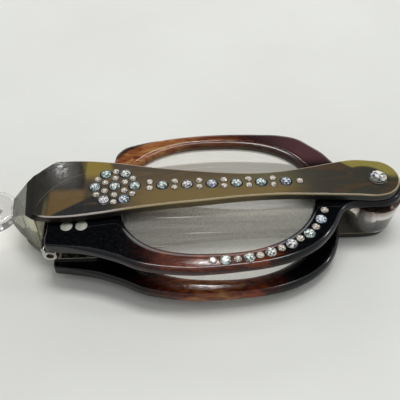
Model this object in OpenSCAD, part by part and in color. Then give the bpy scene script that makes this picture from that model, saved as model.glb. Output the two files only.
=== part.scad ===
// Folding lorgnette, closed: two tortoiseshell rims on a bridge hinge, swung in between the
// two plates of a celluloid handle that is set with rhinestones.
// Origin: pivot axis on the resting plane. +X runs from the hanging ring to the pivot, +Z is up,
// and the rims swing out towards -Y.

/* [Handle plates] */
// Thickness of each handle plate
plate_t = 1.8; // [1.2:0.1:2.6]
// Half width of the handle at its wide end
wide_half = 8.7; // [7.5:0.1:9.5]
// Half width of the handle at its waist
waist_half = 3.9; // [3.2:0.1:5]
// How far the waist is filed over towards the near side
waist_shift = 0.8; // [0:0.1:1]
// How far the top plate's near edge lies in from the bottom plate's
top_in = 0.85; // [0:0.05:1]
// Radius of the round end at the pivot
end_r = 5.5; // [4.8:0.1:6.5]
// Rounding of the plates' polished edges
plate_round = 0.45; // [0.2:0.05:0.6]

// How far the top face is filed away towards the round end
end_fall = 0.04; // [0.02:0.01:0.1]

/* [Nose of the handle] */
// Length of the clear core from the end of the slot to the blunt tip
nose_len = 7.0; // [5:0.5:10]
// Half width of the blunt tip
tip_half = 2.5; // [2:0.1:4]
// Turn of the nose's upper facets towards the near side, in degrees
nose_turn = 6.5; // [0:0.5:10]
// Clearance between the folded rims' corner and the hollow inner face of the core
core_clear = 2.05; // [1.5:0.05:4]

/* [Hanging ring] */
// Outer radius of the clear ring
ring_r = 5.85; // [4.5:0.05:7]
// How far the ring is let into the tip
ring_sunk = 1.7; // [1:0.1:2.2]
// Radius of the hole for a cord or chain
eye_r = 1.6; // [1:0.1:2.2]
// Thickness of the ring
ring_t = 3.2; // [2.4:0.1:4]
// Radius of the peg that holds the ring in the tip
peg_r = 0.9; // [0.6:0.1:1.2]
// Length of the peg inside the core
peg_len = 3.0; // [2:0.5:4]

/* [Pivot] */
// Height of the clear spacer between the bottom plate and the tab
spacer_h = 8.2; // [7:0.1:10]
// Radius of the spacer where it stands on the bottom plate
spacer_r_low = 5.35; // [4.5:0.05:5.6]
// Radius of the spacer under the tab
spacer_r_top = 6.3; // [5.5:0.1:6.8]
// Radius of the pivot pin
pin_r = 1.25; // [0.9:0.05:1.5]
// Running clearance around the pins
run_gap = 0.04; // [0.02:0.01:0.08]
// Play over and under the tab
tab_play = 0.02; // [0.01:0.01:0.05]
// Thickness of the washer between the tab and the top plate
washer_t = 0.36; // [0.3:0.02:0.6]
// Radius of that washer
washer_r = 4.0; // [3:0.1:4.5]
// Wall of the metal bush in the tab
bush_wall = 0.6; // [0.4:0.1:1]
// Radius of the flush nut under the bottom plate
nut_r = 2.4; // [2:0.1:3]
// Height of the flush nut
nut_h = 0.8; // [0.5:0.1:1]
// How far the nut lies inside the bottom plate's underside
nut_sink = 0.1; // [0.05:0.05:0.2]
// Radius of the pivot stone's cup
cup_r = 2.1; // [1.8:0.05:2.6]
// Height of the cup over the top plate
cup_h = 0.6; // [0.4:0.05:0.9]
// Wall of the cup
cup_wall = 0.2; // [0.15:0.05:0.3]
// Height of the pivot stone over its cup
pivot_crown = 0.65; // [0.4:0.05:1]

/* [Rims] */
// Thickness of each rim
rim_t = 2.5; // [2:0.1:3]
// Rounding of the rims' outer edges
rim_round = 1.0; // [0.5:0.05:1.15]
// Rounding of the edge round each lens opening
eye_round = 0.65; // [0.2:0.05:0.7]
// Width of each lens opening
lens_w = 43; // [40:0.5:44]
// Height of each lens opening
lens_h = 32.1; // [29:0.1:34]
// Width of the rim on the far side
rim_far = 3.8; // [3:0.1:5]
// Width of the rim on the near side
rim_near = 4.55; // [3.6:0.1:5.2]
// Width of the rim at the pivot end
rim_side = 5.8; // [5:0.1:6.5]
// Distance from the pivot to the outer edge of the rims at the pivot end
rim_reach = 8.5; // [8:0.1:9.5]
// How far the lens centre lies off the pivot towards the near side
lens_drop = 1.1; // [0:0.1:1.6]
// Radius of the round end of the tab
tab_r = 5.4; // [4.8:0.1:5.8]
// How far the tab's round end is centred past the pivot
tab_past = 0.7; // [0:0.1:1]
// Clearance between the rear rim and the bottom plate
rear_lift = 0.1; // [0.08:0.02:0.3]
// How far the rear rim has worked out of line with the front rim, in degrees
rear_skew = -1.8; // [-2:0.1:0]
// How far the rear rim sits towards the pivot
rear_shift = 0.8; // [0:0.1:0.9]

/* [Lenses] */
// Thickness of a lens at its edge
lens_edge_t = 0.9; // [0.6:0.1:1.1]
// Radius of both lens faces
lens_face_r = 640; // [500:20:1200]
// Depth of the groove that holds the lens
groove = 0.5; // [0.3:0.05:0.7]
// Room around the lens in its groove
groove_gap = 0.03; // [0.02:0.01:0.08]

/* [Bridge hinge] */
// Distance from the lens opening to the axis of the bridge hinge
bridge_len = 15.3; // [14.8:0.1:15.8]
// Width of the bridge block
block_w = 22.7; // [20:0.1:23]
// How far the bridge block's middle lies off the pivot towards the near side
block_drop = 2.75; // [2:0.05:3.5]
// Outer radius of the hinge's knuckles
knuckle_r = 1.5; // [1.3:0.05:1.7]
// Thickness of the hinge's metal straps
strap_t = 0.7; // [0.5:0.05:0.9]
// Length of the straps along the block
strap_len = 9.8; // [9.4:0.1:11]
// Length of the hinge along its axis
hinge_len = 20.8; // [18:0.1:21]
// Radius of the hinge pin
hinge_pin_r = 0.8; // [0.6:0.05:0.9]
// How far the hinge pin's ends lie inside the outer knuckles
pin_sink = 1.5; // [0.5:0.1:2.5]
// Length of each knuckle of the front leaf
front_knuckle = 5.0; // [4:0.1:5.5]
// Length of each knuckle of the rear leaf
rear_knuckle = 2.4; // [1.5:0.1:2.6]
// Play between neighbouring knuckles
knuckle_gap = 0.06; // [0.04:0.01:0.15]
// Radius of the spring's wire
wire_r = 0.18; // [0.12:0.01:0.2]
// Turns of the spring
spring_turns = 5; // [3:1:5]

/* [Rivets] */
// Radius of a rivet's head
rivet_head_r = 1.3; // [1:0.05:1.45]
// Depth of a rivet's head in the rim
rivet_head_t = 0.5; // [0.3:0.05:0.8]
// How far a rivet's head stands proud
rivet_proud = 0.05; // [0.02:0.01:0.08]
// Radius of a rivet's shank
rivet_r = 0.7; // [0.5:0.05:0.8]
// Distance between the two rivets of a row
rivet_pitch = 3.2; // [3:0.1:4]
// Distance from the hinge axis to the first rivet
rivet_start = 4.0; // [3.4:0.1:4.5]
// Distance between the near row and the far row
rivet_rows = 12.8; // [10:0.1:14]

/* [Stones] */
// Radius of the handle's large stones
big_r = 1.15; // [0.9:0.05:1.25]
// Radius of the handle's small stones
small_r = 0.75; // [0.6:0.05:0.8]
// Radius of the rims' large stones
rim_big_r = 1.22; // [1:0.02:1.3]
// Radius of the rims' small stones
rim_small_r = 0.85; // [0.7:0.05:0.9]
// Depth of the stones' pockets
pocket = 0.8; // [0.6:0.05:1.1]
// Height of a stone over the surface, as a part of its radius
crown = 0.42; // [0.3:0.02:0.6]
// Distance from the pivot to the middle of the flower cluster
cluster_at = 58.55; // [57:0.05:60]
// Radius of the cluster's ring of large stones
cluster_big = 4.4; // [4.2:0.05:4.6]
// Radius of the cluster's inner ring of small stones
cluster_inner = 2.5; // [2.3:0.05:2.6]
// Radius of the cluster's outer ring of small stones
cluster_outer = 4.55; // [4.4:0.05:4.8]
// Distance from the pivot to the last large stone of the row
row_at = 20.5; // [19:0.1:21]
// Distance between the large stones of the row
row_pitch = 5.5; // [5.2:0.05:5.6]
// Large stones in the row
row_count = 6; // [4:1:6]
// Distance between the two stones of a small pair
pair_gap = 1.85; // [1.7:0.05:2.2]

/* [Hidden] */
eps = 0.01;

// Levels, from the resting plane upwards
z_plate_top = plate_t;
z_tab = plate_t + spacer_h;
z_tab_low = z_tab + tab_play;
z_front_top = z_tab_low + rim_t;
z_washer = z_front_top + tab_play;
z_top_plate = z_washer + washer_t;
z_top = z_top_plate + plate_t;
z_rear_low = z_plate_top + rear_lift;
hinge_z = (z_front_top + z_rear_low) / 2;

// Plan places along the handle
hinge_reach = rim_reach + rim_side + lens_w + bridge_len;
hinge_x = -hinge_reach;
block_end_x = hinge_x - 0.2;
core_face_r = norm([block_end_x, block_drop + block_w / 2]) + core_clear;
tip_x = -(core_face_r + nose_len);
hinge_y = -block_drop;
strap_half = hinge_len / 2;

// Points of a closed smooth curve through P, k steps to a span
function way(a, b, c) = let (p = norm(b - a), q = norm(c - b)) ((b - a) * q / p + (c - b) * p / q) / (p + q);
function curve(P, k) = let (n = len(P)) [
    for (i = [0:n - 1], j = [0:k - 1])
        let (a = P[(i + n - 1) % n], b = P[i], c = P[(i + 1) % n], d = P[(i + 2) % n],
            m = norm(c - b), t = j / k, s = 1 - t)
            b * s * s * (1 + 2 * t) + c * t * t * (3 - 2 * t)
                + way(a, b, c) * m * t * s * s - way(b, c, d) * m * t * t * s
];

// Outward unit normals of a closed outline that runs anticlockwise
function normals(P) = let (n = len(P)) [
    for (i = [0:n - 1])
        let (t = P[(i + 1) % n] - P[(i + n - 1) % n]) [t.y, -t.x] / norm(t)
];

// The outline P drawn in by d
function drawn_in(P, N, d) = [for (i = [0:len(P) - 1]) P[i] - N[i] * d];

// An arc of n steps round c, with both ends
function arc(c, r, a0, a1, n) = [
    for (i = [0:n]) let (a = a0 + (a1 - a0) * i / n) c + r * [cos(a), sin(a)]
];

// Quarter round of radius r in s steps, as [how far in, how far below the face]
function quarter(r, s) = [for (i = [0:s]) let (a = 90 * i / s) [r * (1 - sin(a)), r * (1 - cos(a))]];

// A plate over the outline P with its bottom and top edges rounded in the given steps. Its top
// falls away past the line between the outline's points a and b, by the slope given
module rounded_plate(P, z0, z1, r_low, low_steps, r_top, top_steps, slope = 0, a = 1, b = 2) {
    N = normals(P);
    n = len(P);
    low = quarter(r_low, low_steps);
    top = quarter(r_top, top_steps);
    cap = drawn_in(P, N, r_top);
    way = (cap[b] - cap[a]) / norm(cap[b] - cap[a]);
    points = concat(
        [for (q = low, p = drawn_in(P, N, q[0])) [p.x, p.y, z0 + q[1]]],
        [for (i = [top_steps:-1:0], p = drawn_in(P, N, top[i][0]))
            [p.x, p.y, z1 - top[i][1] - slope * max(0, cross(way, p - cap[a]))]]);
    m = low_steps + top_steps + 2;
    faces = concat(
        [[for (i = [0:n - 1]) i]],
        slope == 0
            ? [[for (i = [n - 1:-1:0]) (m - 1) * n + i]]
            : [[for (i = [b:-1:a]) (m - 1) * n + i],
               [for (i = [n + a:-1:b]) (m - 1) * n + i % n]],
        [for (k = [0:m - 2], i = [0:n - 1]) let (j = (i + 1) % n)
            [k * n + i, (k + 1) * n + i, (k + 1) * n + j]],
        [for (k = [0:m - 2], i = [0:n - 1]) let (j = (i + 1) % n)
            [k * n + i, (k + 1) * n + j, k * n + j]]);
    polyhedron(points, faces, convexity = 6);
}

// A faceted stone: pointed back in its pocket, short girdle, flat-topped crown
module stone(r, over) {
    girdle = 0.12;
    translate([0, 0, -pocket + eps]) cylinder(h = pocket - eps, r1 = 0.35 * r, r2 = 0.97 * r, $fn = 12);
    cylinder(h = girdle, r = 0.97 * r, $fn = 12);
    translate([0, 0, girdle]) cylinder(h = over - girdle, r1 = 0.97 * r, r2 = 0.58 * r, $fn = 12);
}

// The bore of a stone's pocket below the surface z
module pocket_bore(r) translate([0, 0, -pocket]) cylinder(h = pocket + 1, r = r, $fn = 32);

// Outlines of both plates, from [distance from the pivot, half width to the near or far side, and
// for the near side also how much of top_in the top plate is drawn in by]
stretch = core_face_r / 76.203;
function half_at(f, side) = waist_half + side * waist_shift * (1 - f) + (wide_half - waist_half) * f;
near_stations = [[5.4, 0.14, 0.6], [13.9, 0.09, 1], [22.2, 0, 1], [30.5, 0.01, 0.7], [38.9, 0.18, 0.55],
    [47.2, 0.4, 0.75], [55.3, 0.7, 1], [62, 0.92, 0.8], [67, 1, 0.5], [71, 0.985, 0.3], [73.1, 0.915, 0.15],
    [75.6, 0.73, 0]];
far_stations = [[72.5, 0.973], [70, 1], [65.5, 0.98], [59.1, 0.83], [50.2, 0.5], [41.5, 0.26],
    [32.9, 0.06], [27.1, 0], [21.3, 0.06], [15.5, 0.22], [9.5, 0.44], [4.6, 0.57]];
function outline_drawn_in(d) = curve(concat(
    [for (a = [-62:31:62]) [-0.55, 0.4] + end_r * [cos(a), sin(a)]],
    [[-0.55, 0.4 + end_r]],
    [for (i = [len(far_stations) - 1:-1:0]) [-far_stations[i][0] * stretch, half_at(far_stations[i][1], -1)]],
    [[1.0 - core_face_r, 0.735 * wide_half], [-core_face_r - 1.1, 0.505 * wide_half],
     [tip_x + 0.43 * nose_len, tip_half + 1], [tip_x, tip_half],
     [tip_x, -tip_half], [tip_x + 0.5 * nose_len, -tip_half - 2.1]],
    [for (i = [len(near_stations) - 1:-1:0]) let (s = near_stations[i])
        [-s[0] * stretch, d * s[2] - half_at(s[1], 1)]],
    [[-0.55, 0.4 - end_r]]), 3);
handle_outline = outline_drawn_in(0);
top_outline = outline_drawn_in(top_in);

// Side profile of the nose: both plates and the core are cut back to it. The upper facets are
// turned a little about the tip's far corner
nose_low = [
    [-core_face_r - 2.7, -1], [-core_face_r - 2.9, 0], [-core_face_r - 3.7, 1.0], [-core_face_r - 5.0, 3.6],
    [tip_x, 6.2], [tip_x, z_top + 1], [tip_x - 9, z_top + 1], [tip_x - 9, -1]
];
nose_high = [
    [tip_x - 1, z_top - 7.6], [tip_x, z_top - 6.5], [tip_x + 4.3, z_top_plate], [tip_x + 6.55, z_top],
    [tip_x + 7.8, z_top + 1], [tip_x - 9, z_top + 1], [tip_x - 9, z_top - 7.6]
];
module nose_prism(P) rotate([90, 0, 0]) linear_extrude(height = 60, center = true) polygon(P);
module nose_cut() {
    nose_prism(nose_low);
    translate([tip_x, tip_half, 0]) rotate([0, 0, nose_turn]) translate([-tip_x, 0, 0]) nose_prism(nose_high);
}

// Lens opening: a superellipse whose halves and powers differ, in polar form round lens_c
right_a = lens_w * 0.512;
left_a = lens_w - right_a;
half_b = lens_h / 2;
lens_c = [-(rim_reach + rim_side + right_a), -lens_drop];
function eye_radius(a, more = 0) =
    let (x = cos(a), y = sin(a), h = (x > 0 ? right_a : left_a) + more, b = half_b + more,
        n = y > 0 ? (x > 0 ? 2.5 : 2.3) : (x > 0 ? 2.2 : 2.6))
    pow(pow(abs(x) / h, n) + pow(abs(y) / b, n), -1 / n);
function eye_point(a, more = 0) = lens_c + eye_radius(a, more) * [cos(a), sin(a)];

// Outer edge of the rims: [share of the half length, share of the half height] from lens_c
out_right = right_a + rim_side;
out_far = half_b + rim_far;
out_near = half_b + rim_near;
far_arc = [[0.86, 0.74], [0.735, 0.895], [0.62, 0.95], [0.4, 0.985], [0.12, 1], [-0.16, 0.985],
    [-0.41, 0.94], [-0.64, 0.872], [-0.765, 0.8], [-0.825, 0.69], [-0.842, 0.57], [-0.87, 0.47]];
near_arc = [[-1.08, -0.675], [-0.78, -0.8], [-0.585, -0.92], [-0.39, -0.975], [-0.2, -1], [-0.02, -0.995],
    [0.17, -0.973], [0.36, -0.94], [0.565, -0.865], [0.775, -0.705], [0.91, -0.5]];
block_half = block_w / 2;
block_corner = 0.7;
bridge_end = concat(
    [[block_end_x + 8.5, hinge_y + block_half - 1], [block_end_x + 3.5, hinge_y + block_half - 0.2]],
    arc([block_end_x + block_corner, hinge_y + block_half - block_corner], block_corner, 90, 180, 3),
    [for (s = [0.6, 0, -0.6]) [block_end_x, hinge_y + s * block_half]],
    arc([block_end_x + block_corner, hinge_y - block_half + block_corner], block_corner, 180, 270, 3),
    [[block_end_x + 2.5, hinge_y - block_half - 0.2]]);
tab_c = [tab_past, 0.2];
tab_end = concat(
    [[-7.7, -6.3], [-5.8, -5.15], [-2.5, tab_c.y - tab_r]],
    arc(tab_c, tab_r, -80, 80, 6),
    [[-2.5, tab_c.y + tab_r], [-5.7, 5.9], [-8.1, 8], [-10.2, 11.3]]);
closed_end = [[0.985, -0.22], [1, 0.05], [0.985, 0.3], [0.945, 0.52]];
function arc_points(L) = [for (p = L) lens_c + [p[0] * out_right, p[1] * (p[1] > 0 ? out_far : out_near)]];
front_outer = curve(concat(tab_end, arc_points(far_arc), bridge_end, arc_points(near_arc)), 2);
rear_outer = curve(concat(arc_points(closed_end), arc_points(far_arc), bridge_end, arc_points(near_arc)), 2);

// Share of the full edge rounding: crisp at the bridge block, full from the lens on
function soft(x) = min(1, max(0.35, (x - block_end_x - 1) / 9));

// A rim between its lens opening and the outer edge O: rounded edges and a groove for the lens
module rim_solid(O) {
    n = len(O);
    A = [for (p = O) atan2(p.y - lens_c.y, p.x - lens_c.x)];
    I = [for (a = A) eye_point(a)];
    NO = normals(O);
    NI = normals(I);
    z0 = z_tab_low;
    z1 = z_front_top;
    zm = (z0 + z1) / 2;
    g = lens_edge_t / 2 + groove_gap;
    q = quarter(rim_round, 3);
    e = quarter(eye_round, 2);
    outer_rings = concat([for (c = q) [c[0], z0, c[1]]], [for (i = [3:-1:0]) [q[i][0], z1, -q[i][1]]]);
    inner_rings = concat(
        [for (c = e) [c[0], z1 - c[1]]],
        [[0, zm + g], [groove, zm + g], [groove, zm - g], [0, zm - g]],
        [for (i = [2:-1:0]) [e[i][0], z0 + e[i][1]]]);
    m = len(outer_rings) + len(inner_rings);
    points = concat(
        [for (r = outer_rings, i = [0:n - 1])
            let (s = soft(O[i].x), p = O[i] - NO[i] * r[0] * s) [p.x, p.y, r[1] + r[2] * s]],
        [for (r = inner_rings, i = [0:n - 1]) let (p = I[i] + NI[i] * r[0]) [p.x, p.y, r[1]]]);
    faces = concat(
        [for (k = [0:m - 1], i = [0:n - 1]) let (j = (i + 1) % n, l = (k + 1) % m)
            [k * n + i, l * n + i, l * n + j]],
        [for (k = [0:m - 1], i = [0:n - 1]) let (j = (i + 1) % n, l = (k + 1) % m)
            [k * n + i, l * n + j, k * n + j]]);
    polyhedron(points, faces, convexity = 8);
}

// A lens: edge in the groove, both faces slightly domed
module lens_solid() {
    zm = (z_tab_low + z_front_top) / 2;
    steps = 72;
    edge_r = right_a + 1;
    dome = [for (i = [0:6]) let (r = edge_r * (1 - i / 6))
        [r, lens_edge_t / 2 + (edge_r * edge_r - r * r) / (2 * lens_face_r)]];
    translate([0, 0, zm - lens_edge_t / 2])
        linear_extrude(height = lens_edge_t)
            polygon([for (i = [0:steps - 1]) eye_point(i * 360 / steps, groove - groove_gap)]);
    intersection() {
        translate([0, 0, z_tab_low + eps])
            linear_extrude(height = rim_t - 2 * eps)
                polygon([for (i = [0:steps - 1]) eye_point(i * 360 / steps, -groove_gap)]);
        translate([lens_c.x, lens_c.y, zm]) rotate_extrude($fn = 120)
            polygon(concat(dome, [for (i = [6:-1:0]) [dome[i][0], -dome[i][1]]]));
    }
}

// The front assembly's things, turned over and set where the rear rim lies
module rear_place()
    translate([hinge_x + rear_shift, 0, 2 * hinge_z]) mirror([0, 0, 1])
        rotate([0, 0, rear_skew]) translate([-hinge_x, 0, 0]) children();
module flip() translate([0, 0, 2 * hinge_z]) mirror([0, 0, 1]) children();

// Rim stones: angles round the lens centre, small and large by turns
stone_angles = [-94, -85.8, -78, -70.6, -63.8, -57, -50.2, -43.6, -37.6, -31.9, -26.2, -20.4, -13.8];
function rim_stone_at(a) =
    lens_c + (eye_radius(a) + (a < -60 ? 2.2 : a < -35 ? 2.1 : 2.5)) * [cos(a), sin(a)];
module at_rim_stones(first)
    for (i = [first:2:len(stone_angles) - 1]) let (p = rim_stone_at(stone_angles[i]))
        translate([p.x, p.y, z_front_top]) children();

// Rivets: two rows of two over the hinge's straps
module at_rivets()
    for (row = [-1, 1], k = [0, 1])
        translate([hinge_x + rivet_start + k * rivet_pitch, hinge_y + row * rivet_rows / 2, 0]) children();
module rivet_bores() at_rivets() {
    translate([0, 0, z_tab_low - 1]) cylinder(h = rim_t + 2, r = rivet_r, $fn = 32);
    translate([0, 0, z_front_top - rivet_head_t]) cylinder(h = rivet_head_t + 1, r = rivet_head_r, $fn = 40);
}
module rivet_solids() at_rivets() {
    translate([0, 0, z_tab_low - strap_t]) cylinder(h = rim_t + strap_t - rivet_head_t / 2, r = rivet_r, $fn = 32);
    translate([0, 0, z_front_top - rivet_head_t])
        cylinder(h = rivet_head_t + rivet_proud, r = rivet_head_r, $fn = 40);
}

// A leaf of the hinge: strap under the rim, web down to the axis, knuckles on the spans given
module leaf(spans, bore_r) difference() {
    union() {
        translate([hinge_x - knuckle_r, hinge_y - strap_half + 0.9, z_tab_low - strap_t])
            cube([strap_len + knuckle_r, hinge_len - 1.8, strap_t]);
        for (s = spans) translate([0, s[0], 0]) {
            translate([hinge_x - knuckle_r, 0, hinge_z]) cube([strap_t, s[1] - s[0], z_tab_low - hinge_z]);
            translate([hinge_x, 0, hinge_z]) rotate([-90, 0, 0])
                cylinder(h = s[1] - s[0], r = knuckle_r, $fn = 48);
        }
    }
    translate([hinge_x, hinge_y - 30, hinge_z]) rotate([-90, 0, 0]) cylinder(h = 60, r = bore_r, $fn = 40);
    at_rivets() translate([0, 0, z_tab_low - strap_t - 1]) cylinder(h = strap_t + 2, r = rivet_r, $fn = 32);
}
front_spans = [
    [hinge_y - strap_half, hinge_y - strap_half + front_knuckle],
    [hinge_y + strap_half - front_knuckle, hinge_y + strap_half]];
rear_spans = [
    [front_spans[0][1] + knuckle_gap, front_spans[0][1] + knuckle_gap + rear_knuckle],
    [front_spans[1][0] - knuckle_gap - rear_knuckle, front_spans[1][0] - knuckle_gap]];

// Torsion spring round the hinge pin, with one arm under each strap
coil_r = hinge_pin_r + wire_r + 0.15;
coil_len = rear_spans[1][0] - rear_spans[0][1] - 1.2;
coil_steps = spring_turns * 8 + 4;
coil_y = hinge_y - coil_len / 2;
coil_path = concat(
    [[hinge_x + 5.5, coil_y, z_tab_low - strap_t - wire_r - 0.1]],
    [for (i = [0:coil_steps]) let (a = 90 + i * 45)
        [hinge_x + coil_r * cos(a), coil_y + coil_len * i / coil_steps, hinge_z + coil_r * sin(a)]],
    [[hinge_x + 5, coil_y + coil_len, hinge_z - coil_r - 0.25]]);
spring_gap = min([
    for (i = [0:len(coil_path) - 6], j = [i + 5:len(coil_path) - 1])
        norm(coil_path[i] - coil_path[j])]) - 2 * wire_r;
echo(least_gap_of_the_spring_to_itself_mm = spring_gap);

// A round wire of radius r along the points P
module wire(P, r, sides = 6) {
    n = len(P);
    T = [for (i = [0:n - 1]) let (t = P[min(i + 1, n - 1)] - P[max(i - 1, 0)]) t / norm(t)];
    points = [
        for (i = [0:n - 1])
            let (u = cross(T[i], [0, 1, 0.001]), un = u / norm(u), v = cross(T[i], un))
                for (k = [0:sides - 1]) P[i] + r * (cos(k * 360 / sides) * un + sin(k * 360 / sides) * v)
    ];
    faces = concat(
        [[for (k = [0:sides - 1]) k]],
        [[for (k = [sides - 1:-1:0]) (n - 1) * sides + k]],
        [for (i = [0:n - 2], k = [0:sides - 1]) let (l = (k + 1) % sides)
            [i * sides + k, (i + 1) * sides + k, (i + 1) * sides + l]],
        [for (i = [0:n - 2], k = [0:sides - 1]) let (l = (k + 1) % sides)
            [i * sides + k, (i + 1) * sides + l, i * sides + l]]);
    polyhedron(points, faces, convexity = 10);
}

// Handle stones
module at_large_stones() {
    for (a = [0:60:300]) translate([-cluster_at + cluster_big * cos(a), cluster_big * sin(a), z_top]) children();
    translate([-cluster_at, 0, z_top]) children();
    for (i = [0:row_count - 1]) translate([-row_at - i * row_pitch, 0, z_top]) children();
}
module at_small_stones() {
    for (a = [30:60:330], r = [cluster_inner, cluster_outer])
        translate([-cluster_at + r * cos(a), r * sin(a), z_top]) children();
    for (i = [0:row_count - 1], s = [-0.5, 0.5])
        translate([-row_at - (i + 0.51) * row_pitch, 0.15 + s * pair_gap, z_top]) children();
    translate([-row_at + 3.1, 0, z_top]) children();
}

module handle_bottom_plate() color("#5b5535") difference() {
    rounded_plate(handle_outline, 0, plate_t, plate_round, 3, plate_round / 3, 1);
    nose_cut();
    translate([0, 0, -1]) cylinder(h = plate_t + 2, r = pin_r, $fn = 48);
    translate([0, 0, -1]) cylinder(h = 1 + nut_sink + nut_h, r = nut_r, $fn = 48);
}

module handle_top_plate() color("#5b5535") difference() {
    rounded_plate(top_outline, z_top_plate, z_top, plate_round / 3, 1, plate_round, 3,
        end_fall / 20, 3 * 8, 3 * 33);
    nose_cut();
    translate([0, 0, z_top_plate - 1]) cylinder(h = plate_t + 2, r = pin_r, $fn = 48);
    at_large_stones() pocket_bore(big_r);
    at_small_stones() pocket_bore(small_r);
}

// The core's block before it is hollowed and bored
module core_blank() difference() {
    translate([0, 0, z_plate_top]) linear_extrude(height = z_top_plate - z_plate_top)
        polygon(drawn_in(handle_outline, normals(handle_outline), 0.12));
    nose_cut();
}

module handle_core() color("#a5a59d") difference() {
    core_blank();
    cylinder(h = 4 * z_top, r = core_face_r, center = true, $fn = 180);
    translate([tip_x - 1, 0, hinge_z]) rotate([0, 90, 0]) cylinder(h = peg_len + 1, r = peg_r, $fn = 32);
}

module hanging_ring() color("#dfe0dc") {
    c = [tip_x - ring_r + ring_sunk, 0, hinge_z];
    difference() {
        translate(c) rotate_extrude($fn = 96) {
            translate([eye_r, -ring_t / 4]) square([ring_r - eye_r - ring_t / 2, ring_t / 2]);
            translate([eye_r + 0.4, -ring_t / 2]) square([ring_r - eye_r - 0.4 - ring_t / 2, ring_t]);
            translate([ring_r - ring_t / 2, 0]) circle(r = ring_t / 2, $fn = 48);
        }
        core_blank();
    }
    translate([tip_x - 0.6, 0, hinge_z]) rotate([0, 90, 0]) cylinder(h = peg_len + 0.6, r = peg_r, $fn = 32);
}

module pivot_spacer() color("#d9d4cf") difference() {
    translate([0, 0, z_plate_top]) cylinder(h = spacer_h, r1 = spacer_r_low, r2 = spacer_r_top, $fn = 96);
    translate([0, 0, z_plate_top - 1]) cylinder(h = spacer_h + 2, r = pin_r, $fn = 48);
}

module pivot_pin() color("#c9c9c6")
    translate([0, 0, nut_sink]) cylinder(h = z_top + cup_h / 2 - nut_sink, r = pin_r, $fn = 48);

module pivot_washer() color("#b9b9b4") difference() {
    translate([0, 0, z_washer]) cylinder(h = washer_t, r = washer_r, $fn = 72);
    translate([0, 0, z_washer - 1]) cylinder(h = washer_t + 2, r = pin_r, $fn = 48);
}

module pivot_nut() color("#b9b9b4") difference() {
    translate([0, 0, nut_sink]) cylinder(h = nut_h, r = nut_r, $fn = 48);
    cylinder(h = 10, r = pin_r, center = true, $fn = 48);
}

module pivot_cup() color("#c9c9c6") difference() {
    translate([0, 0, z_top]) cylinder(h = cup_h, r = cup_r, $fn = 72);
    translate([0, 0, z_top - 1]) cylinder(h = cup_h + 2, r = pin_r, $fn = 48);
    translate([0, 0, z_top + cup_h / 2]) cylinder(h = cup_h, r = cup_r - cup_wall, $fn = 72);
}

module pivot_stone() color("#e8edf2") translate([0, 0, z_top + cup_h / 2]) {
    r = (cup_r - cup_wall) * 0.98;
    cylinder(h = cup_h / 2, r = r, $fn = 12);
    translate([0, 0, cup_h / 2]) cylinder(h = pivot_crown, r1 = r, r2 = 0.58 * r, $fn = 12);
}

module handle_large_stones() color("#cfe3e4") at_large_stones() stone(big_r, crown * big_r);
module handle_small_stones() color("#e9dfd2") at_small_stones() stone(small_r, crown * small_r);

module front_rim() color("#5a2a14") difference() {
    rim_solid(front_outer);
    translate([0, 0, z_tab_low - 1]) cylinder(h = rim_t + 2, r = pin_r + run_gap + bush_wall, $fn = 48);
    rivet_bores();
    at_rim_stones(1) pocket_bore(rim_big_r);
    at_rim_stones(0) pocket_bore(rim_small_r);
}

module front_lens() color("#dcdfd4") lens_solid();

module pivot_bush() color("#b9b9b4") difference() {
    translate([0, 0, z_tab_low]) cylinder(h = rim_t, r = pin_r + run_gap + bush_wall, $fn = 48);
    translate([0, 0, z_tab_low - 1]) cylinder(h = rim_t + 2, r = pin_r + run_gap, $fn = 48);
}

module front_rim_large_stones() color("#cfe3e4") at_rim_stones(1) stone(rim_big_r, crown * rim_big_r);
module front_rim_small_stones() color("#e9dfd2") at_rim_stones(0) stone(rim_small_r, crown * rim_small_r);
module front_rivets() color("#d2d2cd") rivet_solids();
module hinge_leaf_front() color("#c9c9c6") leaf(front_spans, hinge_pin_r);

module hinge_pin() color("#b9b9b4")
    translate([hinge_x, front_spans[0][0] + pin_sink, hinge_z]) rotate([-90, 0, 0])
        cylinder(h = hinge_len - 2 * pin_sink, r = hinge_pin_r, $fn = 40);

module hinge_spring() color("#c2c2bd") wire(coil_path, wire_r);

module rear_rim() color("#5a2a14") difference() {
    rear_place() difference() {
        rim_solid(rear_outer);
        at_rim_stones(1) pocket_bore(rim_big_r);
        at_rim_stones(0) pocket_bore(rim_small_r);
    }
    flip() rivet_bores();
}

module rear_lens() color("#dcdfd4") rear_place() lens_solid();
module rear_rim_large_stones() color("#cfe3e4") rear_place() at_rim_stones(1) stone(rim_big_r, crown * rim_big_r);
module rear_rim_small_stones() color("#e9dfd2") rear_place() at_rim_stones(0) stone(rim_small_r, crown * rim_small_r);
module rear_rivets() color("#d2d2cd") flip() rivet_solids();
module hinge_leaf_rear() color("#c9c9c6") flip() leaf(rear_spans, hinge_pin_r + run_gap);

handle_bottom_plate();
handle_top_plate();
handle_core();
hanging_ring();
pivot_spacer();
pivot_pin();
pivot_washer();
pivot_nut();
pivot_cup();
pivot_stone();
handle_large_stones();
handle_small_stones();
front_rim();
front_lens();
pivot_bush();
front_rim_large_stones();
front_rim_small_stones();
front_rivets();
hinge_leaf_front();
hinge_pin();
hinge_spring();
rear_rim();
rear_lens();
rear_rim_large_stones();
rear_rim_small_stones();
rear_rivets();
hinge_leaf_rear();
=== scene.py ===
"""Folding lorgnette, closed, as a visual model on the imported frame.

Two tortoiseshell celluloid rims lie on each other, joined by a bridge hinge, swung in between the
two plates of a stone-set handle. All sizes are in millimetres in the part's frame, whose origin
is the pivot axis on the resting plane.
"""

import logging
import math
from contextlib import contextmanager
from dataclasses import dataclass, field
from enum import Enum
from typing import Callable, Iterable, Iterator, Sequence

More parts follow.
